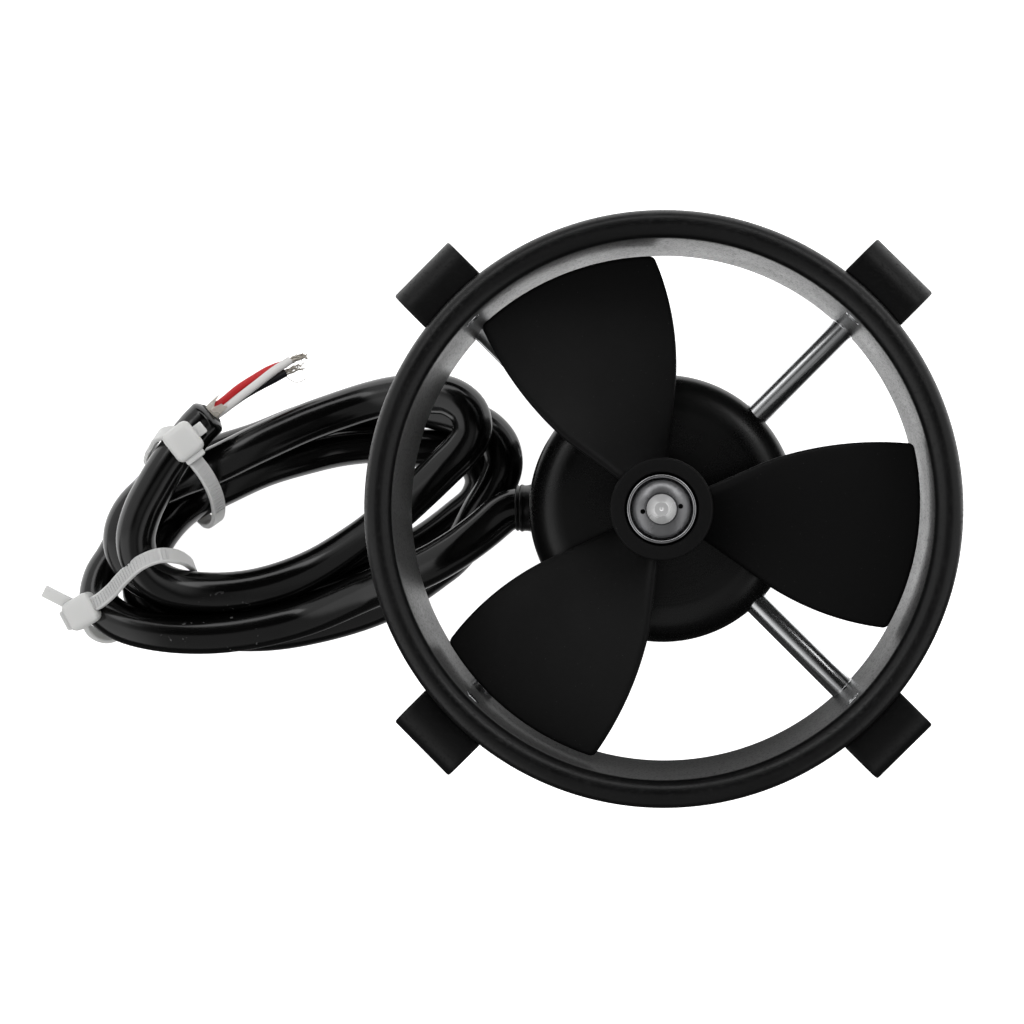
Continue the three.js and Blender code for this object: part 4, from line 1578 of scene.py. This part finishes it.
        pieces.append(
            finish_piece(self.tube("stray_wire", hair, 0.06, 2), self.finishes.strands)
        )
        return pieces


@dataclass
class CableTie:
    """A natural nylon tie drawn round the coil, with its ratchet head and cut tail."""

    name: str
    node: str
    loop: tuple[Point3, ...]
    centre: Point3
    head: Point3
    head_way: Point3
    head_up: Point3
    tail_way: Point3
    tail_length: float
    toothed: tuple[int, int]
    finishes: Finishes
    width: float = 2.4
    thick: float = 0.9
    pitch: float = 0.7

    def build(self) -> bpy.types.Object:
        """Makes the strap with its teeth and its head, and returns the piece."""
        line = smooth_route(list(self.loop), 8, closed=True)
        frames = [self.square(line, i) for i in range(len(line))]
        strap = self.strap(line, frames)
        teeth = self.teeth(line, frames)
        made = joined(self.name, [strap, teeth, self.ratchet()])
        smooth(made, 40)
        return finish_piece(made, self.finishes.nylon, (self.node,))

    def square(self, line: list[Vector], i: int) -> tuple[Vector, Vector, Vector]:
        """The strap's own directions at one point of its line.

        Args:
            line: The closed line, in millimetres.
            i: Number of the point.

        Returns:
            Along the strap, out of it and across it.
        """
        along = (line[(i + 1) % len(line)] - line[i - 1]).normalized()
        out = line[i] - Vector(self.centre)
        out = (out - along * out.dot(along)).normalized()
        return along, out, along.cross(out)

    def strap(self, line: list[Vector], frames: list[tuple[Vector, Vector, Vector]]) -> bpy.types.Object:
        """The closed strap.

        Args:
            line: Its middle line, in millimetres.
            frames: Its directions at each point.

        Returns:
            The object.
        """
        half, deep, soft = self.width / 2, self.thick / 2, 0.18
        section = [
            (-half + soft, -deep), (half - soft, -deep), (half, -deep + soft), (half, deep - soft),
            (half - soft, deep), (-half + soft, deep), (-half, deep - soft), (-half, -deep + soft),
        ]
        points, faces, n, count = [], [], len(section), len(line)
        for place, (_, out, across) in zip(line, frames):
            points += [place + across * a + out * b for a, b in section]
        for i in range(count):
            j = (i + 1) % count
            for k in range(n):
                m = (k + 1) % n
                faces.append((i * n + k, i * n + m, j * n + m, j * n + k))
        return mesh_object(f"{self.name}_strap", points, faces)

    def teeth(self, line: list[Vector], frames: list[tuple[Vector, Vector, Vector]]) -> bpy.types.Object:
        """The row of teeth on the outside of part of the strap.

        Args:
            line: The strap's middle line, in millimetres.
            frames: Its directions at each point.

        Returns:
            The object.
        """
        first, last = self.toothed
        points, along_all, out_all, gone = [], [], [], 0.0
        for i in range(first, last):
            a, b = line[i % len(line)], line[(i + 1) % len(line)]
            step = (b - a).length
            while gone < step:
                along, out, _ = frames[i % len(line)]
                points.append(a + (b - a) * (gone / step) + out * (self.thick / 2))
                along_all += list(along)
                out_all += list(out)
                gone += self.pitch
            gone -= step
        made = mesh_object(f"{self.name}_teeth", points, [])
        for name, values in (("along", along_all), ("out", out_all)):
            made.data.attributes.new(name, "FLOAT_VECTOR", "POINT").data.foreach_set("vector", values)
        tooth = (0.36 * MM, self.width * 0.7 * MM, 0.22 * MM)
        return run_tree(made, teeth_tree(), {"Tooth": tooth, "Material": self.finishes.nylon})

    def ratchet(self) -> bpy.types.Object:
        """The head, with the slot that the strap runs through, and the cut tail."""
        way = Vector(self.head_way).normalized()
        up = Vector(self.head_up)
        up = (up - way * up.dot(way)).normalized()
        turn = Matrix((way, up.cross(way), up)).transposed().to_4x4()
        place = Matrix.Translation(Vector(self.head) * MM) @ turn
        box = self.block(f"{self.name}_head", (5.4, 5.0, 3.8), (0, 0, 0))
        bevelled(box, 1.1, 4)
        slot = self.block("slot", (7, 2.7, 1.2), (0, 0, -0.3))
        window = self.block("window", (1.5, 1.7, 3), (0.6, 0, -1.7))
        cut(box, [slot, window])
        collar = self.block("collar", (1.3, 3.4, 2.4), (-2.9, 0, -0.3))
        bevelled(collar, 0.35, 2)
        placed(box, place)
        placed(collar, place)
        sizes = (self.tail_length, self.width - 0.4, self.thick - 0.1)
        tail = self.block("tail", sizes, (self.tail_length / 2, 0, 0))
        bevelled(tail, 0.2, 2)
        out = Vector(self.tail_way).normalized()
        lie = (up - out * up.dot(out)).normalized()
        aim = Matrix((out, lie.cross(out), lie)).transposed().to_4x4()
        placed(tail, Matrix.Translation((Vector(self.head) + out * 1.8 - up * 0.5) * MM) @ aim)
        return joined(f"{self.name}_ratchet", [box, collar, tail])

    @staticmethod
    def block(name: str, size: Point3, centre: Point3) -> bpy.types.Object:
        """A plain block, which is rounded or used as a cutter afterwards.

        Args:
            name: Its name.
            size: Its three sizes, in millimetres.
            centre: Its middle, in millimetres.

        Returns:
            The object.
        """
        points = [
            Vector((centre[0] + x * size[0] / 2, centre[1] + y * size[1] / 2, centre[2] + z * size[2] / 2))
            for x in (-1, 1) for y in (-1, 1) for z in (-1, 1)
        ]
        faces = [(0, 1, 3, 2), (4, 6, 7, 5), (0, 4, 5, 1), (2, 3, 7, 6), (0, 2, 6, 4), (1, 5, 7, 3)]
        return mesh_object(name, points, faces)


# Duct


@dataclass
class Duct:
    """The round duct with its four lugs, the pins through its wall and the struts across it."""

    finishes: Finishes
    outer: float = 42.25
    bore: float = 38.2
    rear: float = 28.0
    front: float = 56.0
    rear_round: float = 0.8
    strut_radius: float = 1.9
    strut_inner: float = 10.5
    strut_outer: float = 43.8
    strut_height: float = STRUT_HEIGHT
    pin_radius: float = 1.2
    pin_outer: float = 45.6
    pin_height: float = 51.0
    lug_width: float = 11.0
    lug_outer: float = 48.8
    lug_low: float = 28.4
    lug_high: float = 53.5
    lug_round: float = 4.0
    tap_radius: float = 1.65
    tap_depth: float = 4.3
    tap_height: float = 41.0

    def build(self) -> None:
        """Makes the ring, then a lug, a pin and a strut at each of the four places."""
        finish_piece(self.ring(), self.finishes.anodised, ("duct_ring",))
        for i, angle in enumerate(ARM_ANGLES, 1):
            turn = Matrix.Rotation(math.radians(angle), 4, "Z")
            lug = placed(self.lug(f"lug_{i}"), turn)
            finish_piece(lug, self.finishes.lugs, (f"mount_lug_{i}",))
            bar = self.finishes.bars[angle]
            pin = placed(self.pin(f"pin_{i}"), outwards(angle, self.pin_height))
            finish_piece(pin, bar, (f"lug_pin_{i}",))
            strut = placed(self.strut(f"polished_strut_{i}"), outwards(angle, self.strut_height))
            finish_piece(strut, bar, (f"strut_{i}",))

    def ring(self) -> bpy.types.Object:
        """The duct wall, full round at the front, with its pin and strut holes."""
        lip = (self.outer - self.bore) / 2
        middle = (self.outer + self.bore) / 2
        edge = self.rear_round
        profile = [
            *arc((self.bore + edge, self.rear + edge), (edge, edge), 180, 270, 5),
            *arc((self.outer - edge, self.rear + edge), (edge, edge), 270, 360, 5),
            *arc((middle, self.front - lip), (lip, lip), 0, 180, 26),
        ]
        made = lathe("duct_wall", profile, 288, hollow=True)
        cutters = []
        for angle in ARM_ANGLES:
            strut_hole = (self.strut_radius + 0.12, self.strut_height)
            pin_hole = (self.pin_radius + 0.06, self.pin_height)
            for radius, height in (strut_hole, pin_hole):
                cutters.append(placed(rod(radius, 35, 45, 32), outwards(angle, height)))
        return smooth(cut(made, cutters), 28)

    def lug(self, name: str) -> bpy.types.Object:
        """A block that fits the ring's outside, rounded at its outer edges and tapped.

        Args:
            name: Its name.

        Returns:
            The lug that points along +X.
        """
        half = self.lug_outer - self.lug_round
        round_radii = (self.lug_round, self.lug_round)
        side = [
            *arc((half, self.lug_low + self.lug_round), round_radii, 270, 360, 10),
            *arc((half, self.lug_high - self.lug_round), round_radii, 0, 90, 10),
        ]
        steps, points, faces = 12, [], []
        for i in range(steps + 1):
            across = self.lug_width * (i / steps - 0.5)
            seat = math.sqrt((self.outer + 0.03) ** 2 - across**2)
            section = [(seat, self.lug_low), *side, (seat, self.lug_high)]
            points += [Vector((radius, across, height)) for radius, height in section]
        n = len(side) + 2
        for i in range(steps):
            for k in range(n):
                m = (k + 1) % n
                faces.append((i * n + k, i * n + m, (i + 1) * n + m, (i + 1) * n + k))
        faces.append(tuple(range(n)))
        faces.append(tuple(range(steps * n, (steps + 1) * n)))
        made = bevelled(mesh_object(name, points, faces), 0.3, 2, 40)
        return smooth(cut(made, [placed(self.tap(), outwards(0, self.tap_height))]), 30)

    def tap(self) -> bpy.types.Object:
        """The tapped hole's shape along +Z: a countersunk mouth and rings of thread."""
        deep, mouth, radius = self.lug_outer - self.tap_depth, self.lug_outer, self.tap_radius
        profile = [(0, deep), (radius - 0.2, deep)]
        height = deep + 0.35
        while height < mouth - 0.7:
            profile += [(radius - 0.2, height), (radius, height + 0.22)]
            height += 0.5
        wide = radius + 0.45
        profile += [(radius, mouth - 0.4), (wide, mouth + 0.05), (wide, mouth + 1), (0, mouth + 1)]
        return lathe("tap", profile, 28)

    def pin(self, name: str) -> bpy.types.Object:
        """A bright pin with a softened end that just stands out of the bore.

        Args:
            name: Its name.

        Returns:
            The pin along +Z.
        """
        inner, edge = self.bore - 0.12, 0.12
        profile = [
            (0, inner), *arc((self.pin_radius - edge, inner + edge), (edge, edge), 270, 360, 4),
            *arc((self.pin_radius - edge, self.pin_outer - edge), (edge, edge), 0, 90, 3), (0, self.pin_outer),
        ]
        return smooth(lathe(name, profile, 32), 30)

    def strut(self, name: str) -> bpy.types.Object:
        """A polished bar with a fine bright shoulder where it meets the bore.

        Args:
            name: Its name.

        Returns:
            The strut along +Z.
        """
        radius, edge = self.strut_radius, 0.25
        shoulder, seat = radius + 0.1, self.bore - 0.3
        profile = [
            (0, self.strut_inner), *arc((radius - edge, self.strut_inner + edge), (edge, edge), 270, 360, 3),
            (radius, seat - 0.1), *arc((shoulder - 0.08, seat + 0.08), (0.08, 0.08), 270, 360, 3),
            (shoulder, self.bore + 0.4), (radius, self.bore + 0.5),
            *arc((radius - edge, self.strut_outer - edge), (edge, edge), 0, 90, 3), (0, self.strut_outer),
        ]
        return smooth(lathe(name, profile, 48), 30)


# Sensor body


@dataclass
class SensorBody:
    """The turned housing on the struts, its rear cover with screws, and the cable gland."""

    finishes: Finishes
    outer: float = 20.08
    cavity: float = 17.6
    low: float = 4.0
    front: float = 35.5
    face: float = 14.5
    shoulder: float = 3.5
    screw_angles: tuple[float, ...] = (30.0, 150.0, 270.0)
    screw_height: float = 6.2
    gland_height: float = 21.5

    def build(self) -> None:
        """Makes the housing, the cover, the cover's screws and the gland."""
        finish_piece(self.housing(), self.finishes.body, ("body_shell",))
        finish_piece(self.cover(), self.finishes.body, ("rear_cover",))
        screws = placed(self.screw(), outwards(self.screw_angles[0], self.screw_height))
        run_tree(screws, circle_tree(), {"Count": 3, "First angle": 0.0, "Material": self.finishes.bars[45]})
        smooth(screws, 30)
        nodes = tuple(f"cover_screw_{i}" for i in (1, 2, 3))
        finish_piece(screws, self.finishes.bars[45], nodes)
        finish_piece(self.gland(), self.finishes.gland, ("cable_gland",))

    def housing(self) -> bpy.types.Object:
        """The housing, flat in front with an elliptical shoulder, cut for struts, screws and gland."""
        radii = (self.outer - self.face, self.shoulder)
        profile = [
            (self.cavity, self.low), *arc((self.outer - 0.35, self.low + 0.35), (0.35, 0.35), 270, 360, 3),
            *arc((self.face, self.front - self.shoulder), radii, 0, 90, 30),
            (12.0, self.front), (9.0, self.front), (6.0, self.front),
            *arc((3.3, self.front - 0.3), (0.3, 0.3), 90, 180, 3), (3.0, 32.8), (5.3, 32.8), (5.3, 18.2),
            (7.3, 18.2), (7.3, 28.0), (self.cavity, 28.0),
        ]
        made = lathe("sensor_housing", profile, 224, hollow=True)
        cutters = []
        for angle in ARM_ANGLES:
            cutters.append(placed(rod(2.0, 10.2, 22, 40), outwards(angle, STRUT_HEIGHT)))
        for angle in self.screw_angles:
            hole = lathe("hole", [(0, 16), (1.15, 16), (1.15, 18.9), (2.05, 18.9), (2.05, 22), (0, 22)], 28)
            cutters.append(placed(hole, outwards(angle, self.screw_height)))
        cutters.append(placed(rod(4.5, 15, 22, 48), outwards(180, self.gland_height)))
        return smooth(cut(made, cutters), 26)

    def cover(self) -> bpy.types.Object:
        """The rear cover: a plate with a turned groove and a shallow middle, and its spigot."""
        outer = self.outer
        profile = [
            (0, 0.35), (5.6, 0.35), (6.0, 0.0), (15.6, 0.0), (15.9, 0.4), (16.7, 0.4), (17.0, 0.0),
            *arc((outer - 0.5, 0.5), (0.5, 0.5), 270, 360, 5),
            *arc((outer - 0.25, 3.45), (0.25, 0.25), 0, 90, 3), (17.3, 3.7), (17.3, 8.2), (16.0, 8.2),
            (16.0, 9.6), (17.3, 9.6), (17.3, 10.0), (14.5, 10.0), (14.5, 4.2), (0, 4.2),
        ]
        made = lathe("turned_cover", profile, 192)
        holes = []
        for angle in self.screw_angles:
            holes.append(placed(rod(1.1, 14, 19, 24), outwards(angle, self.screw_height)))
        return smooth(cut(made, holes), 26)

    def screw(self) -> bpy.types.Object:
        """A socket screw along +Z, its head sunk in the housing."""
        edge = 0.2
        profile = [
            (0, 14.9), (0.75, 14.9), (1.0, 15.15), (1.0, 18.95),
            *arc((1.85 - edge, 18.95 + edge), (edge, edge), 270, 360, 2),
            *arc((1.85 - edge, 20.05 - edge), (edge, edge), 0, 90, 4), (0, 20.05),
        ]
        made = lathe("cover_screws", profile, 36)
        return cut(made, [rod(0.95, 19.3, 21, 6)])

    def gland(self) -> bpy.types.Object:
        """The moulded collar that the cable comes out of, with a rounded lip and a flared root."""
        profile = [
            (3.2, 13.7), (4.2, 13.7), (4.2, 18.4), (5.3, 18.6), *arc((5.5, 21.2), (1.95, 2.2), 266, 184, 12),
            *arc((3.42, 21.75), (0.26, 0.36), -60, 90, 6), *arc((3.3, 22.45), (0.26, 0.3), -60, 90, 6),
            (3.2, 22.7), (3.2, 22.4),
        ]
        made = lathe("moulded_gland", profile, 64, hollow=True)
        return smooth(placed(made, outwards(180, self.gland_height)), 40)


# Rotor


@dataclass
class Rotor:
    """The three-bladed impeller with the bright cup and nut in its hub."""

    finishes: Finishes
    hub_radius: float = 7.4
    hub_low: float = 37.0
    hub_high: float = 49.3
    pocket: float = 5.3
    pocket_low: float = 46.3
    blades: int = 3
    root: float = 6.0
    tip: float = 37.2
    mid: float = 42.65
    pitch: float = 62.0
    rest_angle: float = -6.8
    corner: float = 0.6
    key_holes: Point2 = (8.0, 188.0)
    key_circle: float = 2.75
    key_radius: float = 0.36

    def build(self) -> None:
        """Makes the impeller, the cup and the nut."""
        finish_piece(self.impeller(), self.finishes.impeller, ("impeller",), Body.ROTOR)
        finish_piece(self.cup(), self.finishes.bright, ("hub_cup",), Body.ROTOR)
        finish_piece(self.nut(), self.finishes.frosted, ("nose_nut",), Body.ROTOR)

    def edge_angles(self, radius: float) -> tuple[float, float]:
        """How far the blade reaches to its rear and to its front edge.

        Args:
            radius: Distance from the axis, in millimetres.

        Returns:
            The two angles from the blade's middle line, in degrees.
        """
        rear = 29.2 - 7.9 * max(0.0, (radius - 19) / (self.tip - 19)) ** 1.45
        front = 31.2 - 9.8 * max(0.0, (radius - 16.5) / (self.tip - 16.5)) ** 1.2
        return -rear, front

    def blade(self, name: str) -> bpy.types.Object:
        """One blade, a thin sheet of constant pitch with rounded edges and tip corners.

        Args:
            name: Its name.

        Returns:
            The blade, with its middle line along +X.
        """
        rows, columns, points, faces = 34, 40, [], []
        inset = [0.0, 0.06, 0.16, 0.34, 0.6]
        radii = [self.root + (self.tip - 1.1 - self.root) * i / rows for i in range(rows)]
        radii += [self.tip - d for d in reversed(inset)]
        for radius in radii:
            low, high = self.edge_angles(radius)
            short = max(0.0, self.corner - (self.tip - radius))
            cut_back = self.corner - math.sqrt(max(0.0, self.corner**2 - short**2))
            trim = math.degrees(cut_back / radius)
            low, high = low + trim, high - trim
            share = (radius - self.root) / (self.tip - self.root)
            thick = 1.5 - 0.6 * share
            end = min(1.0, (self.tip - radius) / 0.45)
            thick *= 0.25 + 0.75 * math.sqrt(max(0.0, 1 - (1 - end) ** 2))
            arc_length = math.radians(high - low) * radius
            rise = self.pitch / 360
            lean = math.atan2(math.degrees(1) * rise, radius)
            for side in (1, -1):
                for i in range(columns + 1):
                    place = 0.5 - 0.5 * math.cos(math.pi * i / columns)
                    if side < 0:
                        place = 1 - place
                    turn = low + (high - low) * place
                    edge = min(place, 1 - place) * arc_length / (0.6 * thick)
                    round_off = math.sqrt(max(0.0, 1 - (1 - min(1.0, edge)) ** 2))
                    out = side * thick / 2 * round_off
                    angle = math.radians(turn)
                    shift = -out * math.sin(lean)
                    x = radius * math.cos(angle) - shift * math.sin(angle)
                    y = radius * math.sin(angle) + shift * math.cos(angle)
                    points.append(Vector((x, y, self.mid + rise * turn + out * math.cos(lean))))
        loop = 2 * (columns + 1)
        for row in range(len(radii) - 1):
            for i in range(loop):
                j = (i + 1) % loop
                a, b = row * loop, (row + 1) * loop
                faces.append((a + i, a + j, b + j, b + i))
        faces.append(tuple(range(loop)))
        faces.append(tuple(range((len(radii) - 1) * loop, len(radii) * loop)))
        return mesh_object(name, points, faces)

    def impeller(self) -> bpy.types.Object:
        """The hub with its blades, bored for the shaft and hollow in front."""
        edge = 0.35
        profile = [
            (0, self.hub_low), (self.hub_radius - 0.3, self.hub_low), (self.hub_radius, self.hub_low + 0.3),
            *arc((self.hub_radius - edge, self.hub_high - edge), (edge, edge), 0, 90, 5), (0, self.hub_high),
        ]
        made = lathe("moulded_impeller", profile, 120)
        blades = []
        for i in range(self.blades):
            turn = Matrix.Rotation(math.radians(self.rest_angle + 360 * i / self.blades), 4, "Z")
            blades.append(placed(self.blade(f"blade_{i}"), turn))
        cut(made, blades, "UNION")
        pocket = lathe(
            "pocket",
            [(0, self.pocket_low), (self.pocket, self.pocket_low), (self.pocket, self.hub_high - 0.15),
             (self.pocket + 0.2, self.hub_high + 0.05), (self.pocket + 0.2, 52), (0, 52)],
            72,
        )
        return smooth(cut(made, [pocket, rod(1.8, 36, 52, 32)]), 32)

    def cup(self) -> bpy.types.Object:
        """The spun cup, with a flat bright rim and a hollow round the nut."""
        profile = [
            (1.2, 46.6), (5.0, 46.6), *arc((4.74, 49.24), (0.26, 0.26), 0, 180, 12),
            *arc((1.6, 49.2), (2.85, 1.9), -4, -90, 26), (1.2, 47.3),
        ]
        made = lathe("spun_cup", profile, 128, hollow=True)
        holes = []
        for angle in self.key_holes:
            turn = Matrix.Rotation(math.radians(angle), 4, "Z")
            out = Matrix.Translation((self.key_circle * MM, 0, 0))
            holes.append(placed(rod(self.key_radius, 46, 52, 20), turn @ out))
        return smooth(cut(made, holes), 40)

    def nut(self) -> bpy.types.Object:
        """The bright nut: a short collar, a cone and a flat tip with a centre mark."""
        profile = [
            (0, 49.7), (1.2, 49.7), (1.2, 47.8), (2.05, 47.8), (2.15, 47.9),
            *arc((1.95, 49.95), (0.2, 0.2), 0, 50, 5), *arc((0.97, 50.96), (0.14, 0.14), 50, 90, 4),
            (0.3, 51.1), (0.16, 51.0), (0, 50.98),
        ]
        return smooth(lathe("bright_nut", profile, 72), 30)


# Inner parts


@dataclass
class InnerParts:
    """The CAD nodes that stay as they are, inside the body, with their finishes."""

    finishes: Finishes

    def build(self) -> None:
        """Gives each node its material."""
        made = self.finishes
        bearings = ("front_bearing_outer", "rear_bearing_outer", "front_bearing_inner", "rear_bearing_inner")
        for material, names in (
            (made.rubber, ("cover_o_ring",)),
            (made.bearing, (*bearings, "bearing_circlip")),
            (made.brass, ("bearing_spacer", "shaft_spacer", "shaft_collar")),
            (made.bars[45], ("rotor_shaft",)),
            (made.ferrite, ("sensor_magnet",)),
            (made.board, ("sensor_board",)),
            (made.chip, ("hall_sensor",)),
            (made.terminal, ("terminal_block",)),
            (made.bars[135], ("board_screw_1", "board_screw_2", "board_screw_3")),
            (made.gland, ("gland_nut",)),
            (made.jacket, ("inner_cable",)),
        ):
            for name in names:
                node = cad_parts[name]
                node.data.materials.clear()
                node.data.materials.append(material)
                log.info("%s keeps its shape", name)


def tie_pair(finishes: Finishes) -> tuple[CableTie, CableTie]:
    """The two ties where they are drawn round the coil.

    Args:
        finishes: The head's materials.

    Returns:
        The tie by the cable's end and the tie at the far end of the coil.
    """
    upper = CableTie(
        name="nylon_tie_1",
        node="cable_tie_1",
        loop=(
            (-76.4, 11.6, 20.6), (-73.6, 7.9, 20.4), (-71.8, 5.0, 18.6), (-70.9, 1.9, 15.6), (-71.3, -0.9, 11.4),
            (-73.0, -2.4, 6.2), (-75.3, -2.0, 1.9), (-78.6, 1.6, 0.85), (-82.0, 5.5, 0.95), (-84.0, 7.7, 3.4),
            (-82.9, 9.0, 9.0), (-81.1, 10.2, 14.4), (-79.1, 11.6, 18.8),
        ),
        centre=(-76.6, 4.6, 9.5),
        head=(-74.9, 10.4, 21.6),
        head_way=(-0.6, 0.79, 0.1),
        head_up=(0.1, 0.1, 1),
        tail_way=(0.75, 0.6, -0.2),
        tail_length=2.2,
        toothed=(8, 30),
        finishes=finishes,
    )
    lower = CableTie(
        name="nylon_tie_2",
        node="cable_tie_2",
        loop=(
            (-92.6, -15.9, 11.2), (-90.4, -15.0, 13.2), (-88.0, -13.3, 14.9), (-85.3, -10.9, 17.4),
            (-82.1, -8.6, 19.7), (-79.2, -7.5, 19.7), (-76.9, -7.7, 17.2), (-76.0, -8.7, 12.6),
            (-76.2, -10.0, 7.2), (-77.4, -11.8, 2.6), (-80.4, -13.8, 0.9), (-84.6, -16.6, 0.8),
            (-88.6, -19.8, 0.9), (-91.6, -21.3, 2.8), (-93.6, -20.2, 5.6), (-94.0, -17.6, 8.6),
        ),
        centre=(-84.5, -13.2, 9.0),
        head=(-93.5, -16.7, 11.4),
        head_way=(0.86, 0.48, 0.2),
        head_up=(-0.25, -0.1, 1),
        tail_way=(-0.88, 0.46, 0.1),
        tail_length=5.4,
        toothed=(6, 44),
        finishes=finishes,
    )
    return upper, lower


def main() -> None:
    """Builds the studio and every sub-assembly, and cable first."""
    logging.basicConfig(level=logging.INFO, format="%(message)s")
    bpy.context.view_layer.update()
    Studio().build()
    finishes = Finishes.make()
    SignalCable(finishes).build(tie_pair(finishes))
    Duct(finishes).build()
    SensorBody(finishes).build()
    Rotor(finishes).build()
    InnerParts(finishes).build()


if __name__ == "__main__":
    main()
